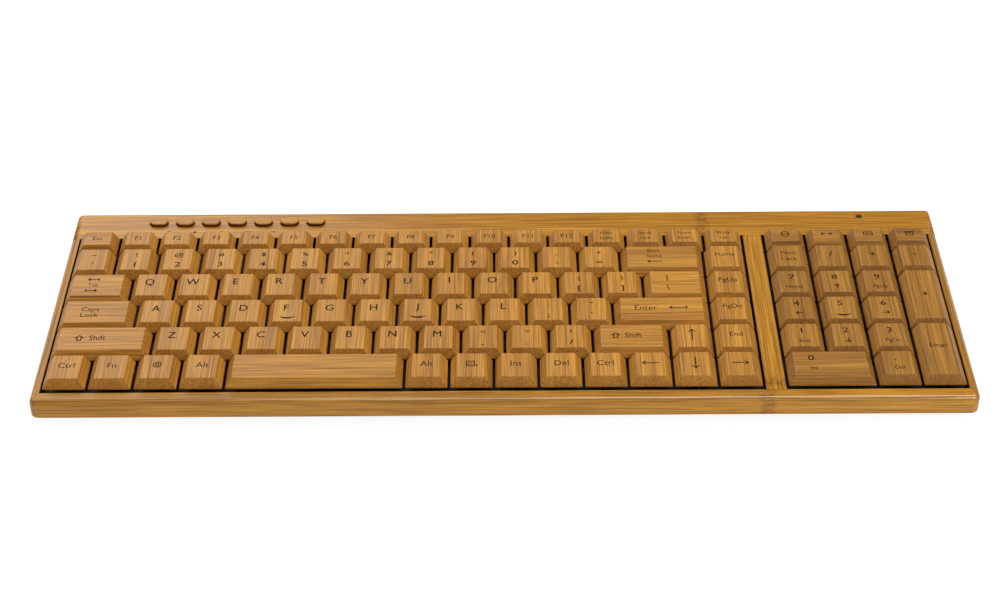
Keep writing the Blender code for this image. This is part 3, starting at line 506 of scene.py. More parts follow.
def bamboo(name, colours, gloss, specular, strip, lines, seams):
    """Laminated bamboo. Bundles of vessels run along the grain: lines on a face, dots at an end.

    The gloss is the least roughness, strip is a glued strip's width, and lines and seams are the
    strength of the bundles and the glue lines. Scales are cycles a millimetre, along and across.
    """
    pale, warm, dark = colours
    look = Look(name, gloss, specular=specular)
    grain = look.attribute("grain", "Vector")
    along = look.add("ShaderNodeSeparateXYZ", {0: grain}).outputs[0]

    # The distance from the nearest knot, whose edge wanders and is ragged
    knot = look.math("FRACT", look.times(along, 1.0 / KNOT_SPACING, 0.5))
    knot = look.times(look.math("SUBTRACT", knot, 0.5), KNOT_SPACING)
    wander = look.noise(look.scaled(grain, (0.0, 0.35, 0.35)), detail=1.0)
    knot = look.math("ADD", knot, look.times(wander, KNOT_WANDER, -KNOT_WANDER / 2))
    knot = look.spread(look.math("ABSOLUTE", knot), *KNOT_HALF_WIDTHS, 1.0, 0.0)
    ragged = look.noise(look.scaled(grain, (0.45, 1.3, 1.3)), detail=2.0, roughness=0.7)
    knot = look.times(knot, look.spread(ragged, 0.40, 0.56))

    # Bundles of vessels, which drift across the piece, some stronger than others
    drift = look.noise(look.scaled(grain, (0.014, 0.16, 0.16)), detail=1.0, output="Color")
    drift = look.scaled(drift, (0.0, GRAIN_DRIFT, GRAIN_DRIFT))
    moved = look.vectors("ADD", drift, grain)
    cells = {"Vector": look.scaled(moved, (0.012, 1.0, 1.0)), "Scale": 0.95, "Randomness": 0.7}
    vessels = look.add("ShaderNodeTexVoronoi", cells)
    strength = look.add("ShaderNodeSeparateColor", {0: vessels.outputs["Color"]}).outputs[0]
    bundle = look.spread(vessels.outputs["Distance"], 0.14, 0.34, 1.0, 0.0)
    bundle = look.times(bundle, look.spread(strength, 0.0, 0.9, 0.35, 1.0))

    # Strips glued side by side, each with a tone of its own
    across = look.add("ShaderNodeSeparateXYZ", {0: moved}).outputs[1]
    place = look.math("DIVIDE", across, strip)
    slat = look.math("FLOOR", place)
    slat_tone = look.add("ShaderNodeTexWhiteNoise", {"W": slat}, noise_dimensions="1D").outputs[0]
    seam = look.math("ABSOLUTE", look.math("SUBTRACT", look.math("FRACT", place), 0.5))
    seam = look.times(look.spread(seam, 0.46, 0.5), seams)

    # The wood between the bundles, from pale to warm
    streak = look.noise(look.scaled(moved, (0.006, 0.7, 0.7)), detail=2.0, roughness=0.6)
    slow = look.noise(look.scaled(grain, (0.005, 0.12, 0.12)), detail=1.0)
    body = look.times(streak, 0.62, look.times(slat_tone, 0.16))
    body = look.math("ADD", body, look.times(slow, 0.4, -0.28))
    colour = look.blend(look.spread(body, 0.05, 0.75), pale, warm)
    colour = look.blend(look.times(knot, 0.62), colour, dark)
    colour = look.blend(look.times(bundle, lines), colour, dark)
    colour = look.blend(seam, colour, dark)
    end = look.spread(look.attribute("cross_cut", "Fac"), 0.1, 0.75)
    warmth = look.times(end, look.spread(bundle, 0.0, 1.0, 0.4, 0.2))
    colour = look.blend(warmth, colour, warm)

    # Fine fibres, and the piece's own tone, which also carries painted light and shade
    fibre = look.noise(look.scaled(moved, (0.03, 1.9, 1.9)), detail=2.0, roughness=0.6)
    shade = look.spread(fibre, 0.32, 0.68, 0.66, 1.22)
    tone_and_shade = look.times(look.attribute("tone_and_shade", "Fac"), TONE_SLOPE, TONE_START)
    shade = look.times(shade, tone_and_shade)
    grey = look.add("ShaderNodeCombineColor", {0: shade, 1: shade, 2: shade}).outputs[0]
    look.colour(look.blend(1.0, colour, grey, "MULTIPLY"))
    rough = look.spread(fibre, 0.2, 0.8, gloss, gloss + GLOSS_RANGE)
    look.roughness(look.times(bundle, 0.10, rough))
    relief = look.times(fibre, 0.35, look.times(bundle, -1.0))
    look.bump(relief, 0.35, 0.05)
    return look.material


def burnt():
    """Wood charred by a laser."""
    look = Look("burnt_bamboo", 0.8, specular=0.2)
    char = look.mottle(2600.0, 3.0, (0.016, 0.006, 0.002), (0.050, 0.018, 0.006))
    look.bump(char, 0.5, 0.08)
    return look.material


def plastic():
    """Moulded black plastic with a fine spark-eroded texture. It also stands as painted shade on
    the rails' faces towards the key wells.
    """
    look = Look("black_plastic_and_shade", 0.5, specular=0.4)
    pit = 0.35 * MM
    pits = look.add("ShaderNodeTexVoronoi", {"Vector": look.place(), "Scale": 1.0 / pit})
    cloud = look.mottle(90.0, 4.0, (0.012, 0.011, 0.010), (0.020, 0.018, 0.017))
    look.roughness(look.spread(cloud, 0.2, 0.8, 0.44, 0.62))
    look.bump(pits.outputs["Distance"], 0.5, 0.03)
    return look.material


def rubber(name, colour, lighter):
    """Rubber with a little dust on it."""
    look = Look(name, 0.85, specular=0.25)
    dust = look.mottle(700.0, 4.0, colour, lighter, 0.35, 0.8)
    look.bump(dust, 0.3, 0.04)
    return look.material


def metal():
    """Zinc-plated steel with fine rolling marks along x."""
    look = Look("plated_steel", 0.35, metallic=1.0)
    scratch = look.noise(look.scaled(look.place(), (120.0, 4200.0, 4200.0)), detail=2.0)
    look.mottle(60.0, 4.0, (0.62, 0.62, 0.60), (0.50, 0.50, 0.49))
    look.roughness(look.spread(scratch, 0.2, 0.8, 0.26, 0.46))
    look.bump(scratch, 0.2, 0.01)
    return look.material


def board():
    """Green solder mask over a grid of copper tracks, with pale pads."""
    look = Look("board_green", 0.4, specular=0.5, coat=0.3)
    place = look.place()
    grid = {"Vector": place, "Scale": 420.0, "Randomness": 0.0}
    cells = look.add("ShaderNodeTexVoronoi", grid, distance="CHEBYCHEV")
    bricks = {"Vector": look.scaled(place, (300.0, 300.0, 300.0)), "Mortar Size": 0.03}
    greens = {"Color1": (0.02, 0.16, 0.05), "Color2": (0.03, 0.20, 0.07)}
    tracks = look.add("ShaderNodeTexBrick", bricks | greens | {"Mortar": (0.05, 0.30, 0.10)})
    pad = look.spread(cells.outputs["Distance"], 0.10, 0.14, 1.0, 0.0)
    rare = look.spread(look.noise(place, scale=160.0, detail=1.0), 0.56, 0.60)
    pad = look.times(pad, rare)
    look.colour(look.blend(pad, tracks.outputs["Color"], (0.62, 0.60, 0.52)))
    look.bump(tracks.outputs["Fac"], 0.2, 0.03)
    return look.material


def film():
    """Clear polyester printed with carbon and silver lines."""
    look = Look("printed_film", 0.3, specular=0.5)
    wave = {"Vector": look.place(), "Scale": 110.0, "Distortion": 6.0}
    lines = look.add("ShaderNodeTexWave", wave).outputs["Fac"]
    look.colour(look.blend(look.spread(lines, 0.80, 0.86), (0.46, 0.52, 0.42), (0.68, 0.68, 0.66)))
    look.bump(lines, 0.15, 0.02)
    return look.material


def lens():
    look = Look("smoked_plastic", 0.12, specular=0.6, coat=0.4)
    haze = look.mottle(1500.0, 2.0, (0.035, 0.012, 0.010), (0.07, 0.025, 0.018))
    look.roughness(look.spread(haze, 0.2, 0.8, 0.10, 0.22))
    return look.material


def wrap():
    """A battery's printed sleeve: dark, with a paler band at one end."""
    look = Look("cell_sleeve", 0.3, specular=0.5, coat=0.5)
    place = look.place()
    x = look.add("ShaderNodeSeparateXYZ", {0: place}).outputs[0]
    turn = look.math("FRACT", look.math("DIVIDE", x, CELL_LENGTH * MM))
    fleck = look.noise(place, scale=900.0, detail=2.0)
    dark = look.blend(look.spread(fleck, 0.3, 0.7), (0.035, 0.035, 0.045), (0.05, 0.05, 0.06))
    look.colour(look.blend(look.spread(turn, 0.60, 0.62), dark, (0.55, 0.42, 0.20)))
    look.bump(fleck, 0.1, 0.01)
    return look.material


def floor_look():
    """Pale paper that shines a little, so that the floor and the air above it look the same."""
    look = Look("pale_floor", 0.7, specular=0.2)
    look.mottle(6.0, 3.0, (0.30, 0.30, 0.30), (0.33, 0.33, 0.33))
    look.set(look.shader, "Emission Color", (1.0, 1.0, 1.0))
    look.set(look.shader, "Emission Strength", 0.90)
    return look.material


CAP_COLOURS = (0.59, 0.272, 0.032), (0.36, 0.126, 0.006), (0.17, 0.052, 0.003)
RAIL_COLOURS = (0.57, 0.268, 0.028), (0.36, 0.126, 0.005), (0.16, 0.048, 0.003)
# The hot buttons' sides: a darker copy of the bamboo, painted shade
SHADED_SIDE_COLOURS = (0.15, 0.045, 0.006), (0.10, 0.026, 0.003), (0.05, 0.012, 0.001)
RAIL_GRAIN = {"strip": 6.5, "lines": 0.6, "seams": 0.1}
CAP_BAMBOO = bamboo("cap_bamboo", CAP_COLOURS, 0.40, 0.42, strip=5.2, lines=0.6, seams=0.3)
RAIL_BAMBOO = bamboo("rail_bamboo", RAIL_COLOURS, 0.24, 0.26, **RAIL_GRAIN)
POLISHED_BAMBOO = bamboo("polished_bamboo", RAIL_COLOURS, 0.16, 0.9, **RAIL_GRAIN)
SHADED_BUTTON_SIDE = bamboo("shaded_button_side", SHADED_SIDE_COLOURS, 0.45, 0.26, strip=5.2, lines=0.5, seams=0.1)
BURNT = burnt()
BLACK_PLASTIC_AND_SHADE = plastic()
BLACK_RUBBER = rubber("black_rubber", (0.016, 0.016, 0.016), (0.035, 0.034, 0.033))
PLATED_STEEL = metal()
CAP_LOOKS = [CAP_BAMBOO, BURNT, BLACK_PLASTIC_AND_SHADE]
RAIL_LOOKS = [RAIL_BAMBOO, BLACK_PLASTIC_AND_SHADE, BURNT]


# Legends: each mark is text, or outlines with or without a hole, at a place on a cap's top face


def write(body, height, x=0.0, share=0.42, stretch=0.95):
    """Text whose middle is at x from the middle and at a share of the depth from the back edge."""
    return ("text", body, height, x, share, stretch)


def draw(outlines, x=0.0, share=0.5, depth=BURN_DEPTH):
    return ("outlines", outlines, x, share, depth)


def turned(outline, degrees):
    c, s = math.cos(math.radians(degrees)), math.sin(math.radians(degrees))
    return [(x * c - y * s, x * s + y * c) for x, y in outline]


def moved_by(outline, dx, dy):
    return [(x + dx, y + dy) for x, y in outline]


def arrow(length, head, degrees, tail_bar=0.0):
    """A thin arrow with an open head, and a short bar across its tail if that has a length."""
    half, thick = STROKE / 2, STROKE * math.sqrt(2)
    tip = length / 2
    upper = [(tip, 0), (tip - head, head), (tip - head - thick, head), (tip - half - thick, half)]
    lower = [(x, -y) for x, y in reversed(upper[1:])]
    tail = [(-tip, half), (-tip, -half)]
    if tail_bar:
        end = -tip + STROKE
        tail = [(end, half), (end, tail_bar), (-tip, tail_bar)]
        tail += [(x, -y) for x, y in reversed(tail)]
    return [(turned(upper + tail + lower, degrees), None)]


def inset(outline, distance):
    """The outline moved inwards by a distance, for an outline that runs anticlockwise."""
    made = []
    count = len(outline)
    for i in range(count):
        before, here, after = (Vector(outline[(i + k) % count]) for k in (-1, 0, 1))
        a, b = (here - before).normalized(), (after - here).normalized()
        normals = Vector((-a.y, a.x)), Vector((-b.y, b.x))
        along = normals[0] + normals[1]
        made.append(tuple(here + along * (distance / (1 + normals[0].dot(normals[1])))))
    return made


def outlined(outline):
    """A line drawn just inside the outline."""
    return [(outline, inset(outline, STROKE))]


def ring(radius):
    return [(circle(0, 0, radius), circle(0, 0, radius - STROKE))]


def bar(x, y, width, depth):
    return [(rectangle(x - width / 2, x + width / 2, y - depth / 2, y + depth / 2), None)]


def shift_arrow():
    head, neck, reach = 2.3, 1.1, 1.9
    right = [(neck, -reach), (neck, 0), (head, 0)]
    left = [(-x, y) for x, y in reversed(right)]
    return outlined(right + [(0, reach)] + left)


def menu_icon():
    """A page of text with a pointer at its side."""
    page = outlined(rectangle(-2.3, 1.5, -1.9, 1.9))
    lines = bar(-0.5, 0.65, 2.0, FINE_STROKE) + bar(-0.5, -0.55, 2.0, FINE_STROKE)
    return page + lines + [(moved_by([(0, 0), (1.1, -1.1), (0, -1.5)], 1.9, -0.2), None)]


def smile():
    """A crescent that marks a key for the fingers."""
    half, upper, lower = 3.9, 0.7, 1.75
    steps = 10
    xs = [half * (2 * i / steps - 1) for i in range(steps + 1)]
    under = [(x, -lower * (1 - (x / half) ** 2)) for x in xs]
    over = [(x, -upper * (1 - (x / half) ** 2)) for x in reversed(xs[1:-1])]
    return [(under + over, None)]


def letter(body):
    """One letter near the back left, a little off its place, as on hand-placed blanks."""
    x = LETTER_LEFT + random.uniform(-0.35, 0.35)
    share = 0.37 + random.uniform(-0.02, 0.02)
    return [write(body, LETTER, x, share, 0.92)]


def letters(text):
    return [letter(body) for body in text]


def word(body, height=WORD, share=0.44):
    return [write(body, height, random.uniform(-0.3, 0.3), share)]


def two_lines(upper, lower, height, first, second, x=0.0):
    return [write(upper, height, x, first), write(lower, height, x, second)]


def symbols(*pairs):
    return [
        [write(upper, SYMBOL, 0.0, 0.29, 1.1), write(lower, DIGIT, 0.0, 0.76, 1.2)]
        for upper, lower in pairs
    ]


def function_words(first):
    return [word(f"F{number}", FUNCTION_WORD, 0.5) for number in range(first, first + 4)]


def lone(outlines, share=ARROW_SHARE):
    """A cap's marks when one drawn mark in the middle is all it has."""
    return [draw(outlines, 0, share)]


def long_arrow(head, degrees):
    return lone(arrow(7.6, head, degrees))


def marked(legend):
    return legend + [draw(smile(), 0.0, 0.77, HOMING_DEPTH)]


def pad_digit(digit, x=-0.6, share=0.30):
    return write(digit, DIGIT, x, share, 1.15)


def pad_key(digit, below):
    """A digit over a word or a drawn mark."""
    if isinstance(below, list):
        return [pad_digit(digit), draw(below, 0.0, 0.74)]
    return [pad_digit(digit), write(below, TINY_WORD, 0.1, 0.75)]


def shift_key(arrow_x, word_x):
    return [draw(shift_arrow(), arrow_x, 0.47), write("Shift", WORD, word_x, 0.47, 0.88)]


def all_legends():
    """The marks of every cap, by node, in the order of its caps."""
    left, right, up, down = (arrow(3.4, 1.1, turn) for turn in (180, 0, 90, -90))
    tab = [draw(arrow(5.4, 1.0, 180, 0.9), -2.2, 0.24), write("Tab", TINY_WORD, -2.0, 0.50)]
    tab.append(draw(arrow(5.4, 1.0, 0, 0.9), -2.2, 0.76))
    enter = [write("Enter", WORD, -7.0, 0.46), draw(arrow(8.0, 1.0, 180, 1.1), 7.1, 0.46)]
    back = [write("Back", TINY_WORD, -3.6, 0.20), write("Space", TINY_WORD, -3.6, 0.47)]
    back.append(draw(arrow(6.6, 1.0, 180), -3.6, 0.74))
    mail = outlined(rectangle(-2.2, 2.2, -1.5, 1.5)) + bar(0, 0, 2.2, STROKE)
    globe = ring(2.0) + bar(0, 0, 3.0, STROKE)
    pages = arrow(2.4, 0.8, 180) + arrow(2.4, 0.8, 0)
    swap = [(moved_by(outline, 1.6 * side, 0), None) for (outline, _), side in zip(pages, (-1, 1))]
    box = outlined(rectangle(-1.9, 1.9, -1.6, 1.6)) + bar(0, 0.35, 2.2, STROKE)
    system_words = (("PrtSc", "SysRq"), ("Scroll", "Lock"), ("Pause", "Break"), ("Wake", "Up"))
    rings = lone(ring(1.9) + ring(0.9), 0.42)
    return {
        "left_modifier_keys": [word("Ctrl"), word("Fn"), rings, word("Alt")],
        "space_bar": [[]],
        "right_modifier_keys": [word("Alt"), lone(menu_icon(), 0.45)]
        + [word(body) for body in ("Ins", "Del", "Ctrl")],
        "lower_arrow_keys": [long_arrow(1.3, 180), long_arrow(1.5, -90), long_arrow(1.3, 0)],
        "left_shift_key": [shift_key(-9.5, -1.6)],
        "zxcvb_keys": letters("ZXCVB"),
        "nm_keys": letters("NM") + symbols("<,", ">.", "?/"),
        "right_shift_key": [shift_key(-6.9, 0.8)],
        "up_arrow_key": [long_arrow(1.5, 90)],
        "caps_lock_key": [two_lines("Caps", "Lock", SMALL_WORD, 0.40, 0.66, -2.8)],
        "asdfg_keys": letters("ASD") + [marked(letter("F")), letter("G")],
        "hjkl_keys": [letter("H"), marked(letter("J"))] + letters("KL") + symbols(":;", "\"'"),
        "enter_key": [enter],
        "tab_key": [tab],
        "qwert_keys": letters("QWERT"),
        "yuiop_keys": letters("YUIOP") + symbols("{[", "}]"),
        "backslash_key": [[write("|", DIGIT, -3.6, 0.28), write("\\", DIGIT, -3.6, 0.74)]],
        "left_number_keys": symbols("~`", "!1", "@2", "#3", "$4", "%5"),
        "right_number_keys": symbols("^6", "&7", "*8", "(9", ")0", "_-", "+="),
        "backspace_key": [back],
        "escape_key": [word("Esc", NARROW_WORD, 0.5)],
        "f1_to_f4_keys": function_words(1),
        "f5_to_f8_keys": function_words(5),
        "f9_to_f12_keys": function_words(9),
        "system_keys": [two_lines(*pair, SYSTEM_WORD, 0.30, 0.68) for pair in system_words],
        "numpad_zero_key": [[pad_digit("0", -8.2, 0.28), write("Ins", TINY_WORD, -7.6, 0.70)]],
        "numpad_point_key": [
            [write(".", DIGIT, -1.2, 0.28, 1.3), write("Del", TINY_WORD, 0.2, 0.70)],
        ],
        "numpad_123_keys": [pad_key("1", "End"), pad_key("2", down), pad_key("3", "PgDn")],
        "numpad_456_keys": [pad_key("4", left), marked([pad_digit("5")]), pad_key("6", right)],
        "numpad_789_keys": [pad_key("7", "Home"), pad_key("8", up), pad_key("9", "PgUp")],
        "numpad_operator_keys": [
            two_lines("Num", "Lock", LOCK_WORD, 0.34, 0.64),
            *([write(sign, LETTER, 0, y)] for sign, y in (("/", 0.42), ("*", 0.50), ("-", 0.40))),
        ],
        "numpad_media_keys": [lone(icon) for icon in (globe, swap, mail, box)],
        "numpad_enter_key": [[write("Enter", SMALL_WORD, 0, 0.44, 0.85)]],
        "numpad_plus_key": [[write("+", LETTER, 0, 0.50)]],
        "navigation_keys": [
            word("End", SMALL_WORD),
            word("PgDn", SMALL_WORD, 0.40),
            word("PgUp", SMALL_WORD, 0.40),
            word("Home", NARROW_WORD, 0.40),
        ],
    }


def text_shape(body, height, stretch, low, high):
    """Upright letters between two heights, centred on the origin, as points and faces."""
    curve = bpy.data.curves.new("legend", "FONT")
    curve.body = body
    curve.size = height / CAPITAL
    curve.resolution_u = 3
    curve.extrude = (high - low) / 2
    holder = put_in_scene("legend", curve)
    mesh = final_meshes([holder])[holder.name]
    bm = bmesh.new()
    bm.from_mesh(mesh)
    bmesh.ops.remove_doubles(bm, verts=bm.verts, dist=0.002)
    xs = [v.co.x for v in bm.verts]
    middle = (min(xs) + max(xs)) / 2
    places = [v.co for v in bm.verts]
    up = (low + high) / 2
    points = [((p.x - middle) * stretch, p.y - height / 2, p.z + up) for p in places]
    bm.verts.index_update()
    faces = [tuple(v.index for v in f.verts) for f in bm.faces]
    bm.free()
    bpy.data.objects.remove(holder)
    bpy.data.curves.remove(curve)
    bpy.data.meshes.remove(mesh)
    return points, faces


def cutter_for(name, marks, face, at, move=0.0):
    """One tool that burns all of a cap's marks into its top face.

    A second pass is moved a little to the right, a little back and a little up.
    """
    x0, x1, y0, y1 = face
    shapes = []
    over = TOP + BURN_OVER
    for kind, what, *rest in marks:
        if kind == "text":
            height, x, share, stretch = rest
            parts = [text_shape(what, height, stretch, TOP - BURN_DEPTH + move * 0.1, over)]
        else:
            x, share, depth = rest
            parts = [mark_shape(outer, inner, TOP - depth, over) for outer, inner in what]
        dx = (x0 + x1) / 2 + x - at[0] + move
        dy = y1 - share * (y1 - y0) - at[1] + move * 0.3
        for points, faces in parts:
            shapes.append(([(px + dx, py + dy, pz - at[2]) for px, py, pz in points], faces))
    return tool(f"{name}_marks", joined(shapes), CAP_LOOKS, BURNT, at)


def mark_shape(outer, inner, low, high):
    return prism(outer, low, high) if inner is None else tube(outer, inner, low, high)


# Keys


def cap_foot(face, wall=0.0):
    """The outline of a cap's foot, or the one inside a wall of this thickness."""
    x0, x1, y0, y1 = face
    left, right = x0 - INSET_SIDE + wall, x1 + INSET_SIDE - wall
    return rectangle(left, right, y0 - INSET_FRONT + wall, y1 + INSET_BACK - wall)


def cap_shape(face, at):
    """A cap with sloping sides and soft edges."""
    foot, top = cap_foot(face), rectangle(*face)
    rings = [
        [(x - at[0], y - at[1], z - at[2]) for x, y in ring]
        for ring, z in ((foot, SKIRT), (foot, FOOT), (top, TOP))
    ]
    bm = shape(*stack(rings))
    round_off(bm, EDGE, EDGE_STEPS, angle=20.0)
    return bm


def stem_shape(at, into):
    """The plastic stem and its collar, which reaches up into the cap to this height."""
    into -= at[2]
    collar = prism(circle(0, 0, COLLAR_RADIUS, COLLAR_SIDES), SKIRT - COLLAR - at[2], into)
    sections = (
        (STEM_HALF - STEM_TAPER, STEM_END),
        (STEM_HALF, STEM_END + STEM_END_HEIGHT),
        (STEM_HALF, into + at[2] - STEM_END_HEIGHT),
    )
    squares = [(rectangle(-half, half, -half, half), z - at[2]) for half, z in sections]
    return collar, stack([[(x, y, z) for x, y in square] for square, z in squares])


def hollow_out(cap, face, at):
    """The space bar's hollow, which clears the wire's hooks, and its two lugs for the wire."""
    foot = [(x - at[0], y - at[1]) for x, y in cap_foot(face, HOLLOW_WALL)]
    hollow = prism(foot, SKIRT - OVER - at[2], HOLLOW_TOP - at[2])
    bodies = [("hollow", hollow, CAP_BAMBOO, "DIFFERENCE")]
    low, high = deck_box("space_stabiliser")
    y = low.y + WIRE / 2
    window = rectangle(y - WINDOW_HALF_DEPTH, y + WINDOW_HALF_DEPTH, *WINDOW)
    outer = rectangle(
        y - LUG_HALF_DEPTH, y + LUG_HALF_DEPTH, WINDOW[0] - LUG_FLOOR, HOLLOW_TOP + INTO_CAP
    )
    for label, x in (("left_lug", low.x + LUG_INSET), ("right_lug", high.x - LUG_INSET)):
        points, faces = tube(outer, window, x - LUG_HALF_WIDTH, x + LUG_HALF_WIDTH)
        points = [(px - at[0], py - at[1], pz - at[2]) for py, pz, px in points]
        bodies.append((label, (points, faces), BLACK_PLASTIC_AND_SHADE, "UNION"))
    for label, body, look, operation in bodies:
        cut(cap, tool(f"space_bar_{label}", body, CAP_LOOKS, look, at), operation)


def make_cap(name, node, face, marks):
    x0, x1, y0, y1 = face
    at = ((x0 + x1) / 2, (y0 + y1 - INSET_FRONT + INSET_BACK) / 2, FOOT)
    cap = piece(name, cap_shape(face, at), CAP_LOOKS, at)
    ceiling = SKIRT
    if node == "space_bar":
        hollow_out(cap, face, at)
        ceiling = HOLLOW_TOP
    for label, part in zip(("collar", "stem"), stem_shape(at, ceiling + INTO_CAP)):
        cut(cap, tool(f"{name}_{label}", part, CAP_LOOKS, BLACK_PLASTIC_AND_SHADE, at), "UNION")
    if marks:
        cut(cap, cutter_for(name, marks, face, at))
    single = [mark for mark in marks if mark[0] == "text" and len(mark[1]) == 1]
    if single:
        cut(cap, cutter_for(name, single, face, at, WEIGHT))
    wide = x1 - x0 + 2 * INSET_SIDE > GRAIN_ALONG_X * (y1 - y0 + INSET_FRONT + INSET_BACK)
    return cap, node, wide


def make_caps():
    caps = []
    for node, cap_marks in all_legends().items():
        pairs = zip(top_faces(node), cap_marks, strict=True)
        for number, (face, marks) in enumerate(pairs, 1):
            name = node.removesuffix("s") + f"_{number}" if len(cap_marks) > 1 else f"{node}_cap"
            caps.append(make_cap(name, node, face, marks))
    settle([cap for cap, _, _ in caps])
    for cap, node, wide in caps:
        # A random tone for each cap, plus painted shade on the number pad's caps
        tone_and_shade = random.uniform(*CAP_TONES) + (PAD_SHADE if node.startswith("numpad") else 0.0)
        mark_grain(cap, wide, (tone_and_shade, tone_and_shade))
        deliver(cap, node, node)


# Frame


def rail_foot(node):
    """A function that gives the deck height of the frame's level lower edge."""
    height = (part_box(node)[0] / MM).z
    return lambda x, y: (height - y * math.sin(TILT)) / math.cos(TILT)


def corner_halves(side, half_width, front):
    """The front corner's outer curve at one side, as its front half and its side half."""
    centre = (side * (half_width - FRONT_CORNER), front + FRONT_CORNER)
    turns = (270, 315, 360) if side > 0 else (270, 225, 180)
    first = arc(centre, FRONT_CORNER, turns[0], turns[1], CORNER_STEPS)
    return first, arc(centre, FRONT_CORNER, turns[1], turns[2], CORNER_STEPS)


def rail(name, outline, low, high, outer, shaded_well_side, butt):
    """A rail whose outer upper edge is rounded, and whose other edges are softened.

    Its faces towards a key well are black plastic, painted shade for the dark gap round the keys,
    and those that meet another rail stay sharp. Both are picked out by their normals.
    """
    bm = shape(*prism(outline, low, high))
    middle = [sum(p[i] for p in outline) / len(outline) for i in (0, 1)]
    at = (middle[0], middle[1], high)

    def on_top(edge):
        a, b = (v.co for v in edge.verts)
        return min(a.z, b.z) > high - SAME and outer(a, b)

    round_off(bm, ROUND, ROUND_STEPS, on_top, angle=60.0)
    bm.normal_update()
    for face in bm.faces:
        # Faces towards a key well are black plastic as painted shade, for the dark gap round the
        # keys
        look = BLACK_PLASTIC_AND_SHADE if shaded_well_side(face.normal) else RAIL_BAMBOO
        face.material_index = RAIL_LOOKS.index(look)
    round_off(
        bm, SOFT_EDGE, SOFT_STEPS, lambda e: not any(butt(f.normal) for f in e.link_faces), 50.0
    )
    bmesh.ops.translate(bm, vec=[-v for v in at], verts=bm.verts)
    return piece(name, bm, RAIL_LOOKS, at)


def polish_edge(made):
    """Makes the rounded front edge glossy, as if hands had rubbed it."""
    made.data.materials.append(POLISHED_BAMBOO)
    for face in made.data.polygons:
        if face.normal.y < -0.15 and face.normal.z > 0.3:
            face.material_index = len(made.data.materials) - 1


def finish_rail(made):
    node, tones_and_shade, knot = RAILS[made.name]
    mark_grain(made, node in ("front_rail", "rear_rail"), tones_and_shade, knot)
    made.data.transform(DECK)  # its own axes turn level, and the rail stays where it is
    made.matrix_world = made.matrix_world @ DECK.inverted()
    deliver(made, "housing", node)


def front_rail(front, well_front, half, inner):
    """The front rail, with the front halves of its two corners."""
    right, _ = corner_halves(1, half, front)
    left, _ = corner_halves(-1, half, front)
    outline = [(HALF_LINE - inner, well_front), (inner - HALF_LINE, well_front)]
    outline += [(x - HALF_LINE, y) for x, y in reversed(right)]
    outline += [(x + HALF_LINE, y) for x, y in left]
    low, high = deck_box("front_rail")
    return rail(
        "front_bamboo_rail", outline, low.z, high.z,
        lambda a, b: max(a.y, b.y) < well_front - SAME and abs(a.x - b.x) > SAME,
        lambda n: n.y > 0.9,
        lambda n: n.y > 0.2 and abs(n.x) > 0.2,
    )


def side_rail(side, front, well_front, back, half, inner, high):
    """The left rail or the right one, at side -1 or 1, with the side half of its front corner."""
    _, curve = corner_halves(side, half, front)
    outline = [(side * inner, back), (side * inner, well_front + HALF_LINE)]
    outline += [(x, y + HALF_LINE) for x, y in curve]
    outline += [(side * half, back)]
    if side > 0:
        outline.reverse()
    name = ("left" if side < 0 else "right") + "_bamboo_rail"
    return rail(
        name, outline, rail_foot("left_rail"), high,
        lambda a, b: min(abs(a.x), abs(b.x)) > inner + SAME and abs(a.y - b.y) > SAME,
        lambda n: n.x * side < -0.9,
        lambda n: n.y > 0.9 or (n.y < -0.2 and n.x * side < -0.2),
    )


def divider_rail(well_front, back, high):
    low, far = deck_box("centre_rail")
    outline = rectangle(low.x, far.x, well_front + HALF_LINE, back)
    return rail(
        "divider_bamboo_rail", outline, low.z, high,
        lambda a, b: False,
        lambda n: abs(n.x) > 0.9,
        lambda n: abs(n.y) > 0.9,
    )


def make_rails():
    front_low, front_high = deck_box("front_rail")
    left_low, left_high = deck_box("left_rail")
    half, inner = -left_low.x, -left_high.x
    front, well_front, high = front_low.y, front_high.y - FRONT_TRIM, front_high.z
    back = left_high.y + SIDE_STRETCH
    rails = [front_rail(front, well_front, half, inner)]
    for side in (-1, 1):
        rails.append(side_rail(side, front, well_front, back, half, inner, high))
    rails.append(divider_rail(well_front, back, high))
    polish_edge(rails[0])
    for made in rails:
        finish_rail(made)


def button_middles():
    """The hot buttons' middles, width, depth and top."""
    points = deck_points("hot_buttons")
    top = max(p.z for p in points)
    xs = distinct(p.x for p in points if p.z > top - SAME)
    groups = [[xs[0]]]
    for x in xs[1:]:
        if x - groups[-1][-1] > BUTTON_SPACE:
            groups.append([])
        groups[-1].append(x)
    ys = [p.y for p in points if p.z > top - SAME]
    y = (min(ys) + max(ys)) / 2
    width = groups[0][-1] - groups[0][0]
    return [((g[0] + g[-1]) / 2, y) for g in groups], width, max(ys) - min(ys), top


def button_icons():
    return [
        outlined(rectangle(-0.95, 0.95, -0.8, 0.8)),
        arrow(2.2, 0.75, 180),
        arrow(2.2, 0.75, 0),
        [(circle(0, 0, 0.9, 12), circle(0, 0, 0.5, 12))],
        bar(0, 0, 1.9, STROKE),
        bar(0, 0.5, 1.9, FINE_STROKE) + bar(0, -0.5, 1.9, FINE_STROKE),
        [([(-0.8, -0.9), (0.9, 0), (-0.8, 0.9)], None)],
    ]


def rear_rail():
    """The rear rail, across the whole width, with its two corners."""
    low, high = deck_box("rear_rail")
    half, inner = high.x, low.y + REAR_TRIM
    y = high.y - REAR_CORNER
    outline = [(-half, inner), (half, inner)]
    outline += arc((half - REAR_CORNER, y), REAR_CORNER, 0, 90, CORNER_STEPS)
    outline += arc((REAR_CORNER - half, y), REAR_CORNER, 90, 180, CORNER_STEPS)
    return rail(
        "rear_bamboo_rail", outline, rail_foot("left_rail"), high.z,
        lambda a, b: max(a.y, b.y) > inner + SAME,
        lambda n: n.y < -0.9,
        lambda n: n.y < -0.9,
    )


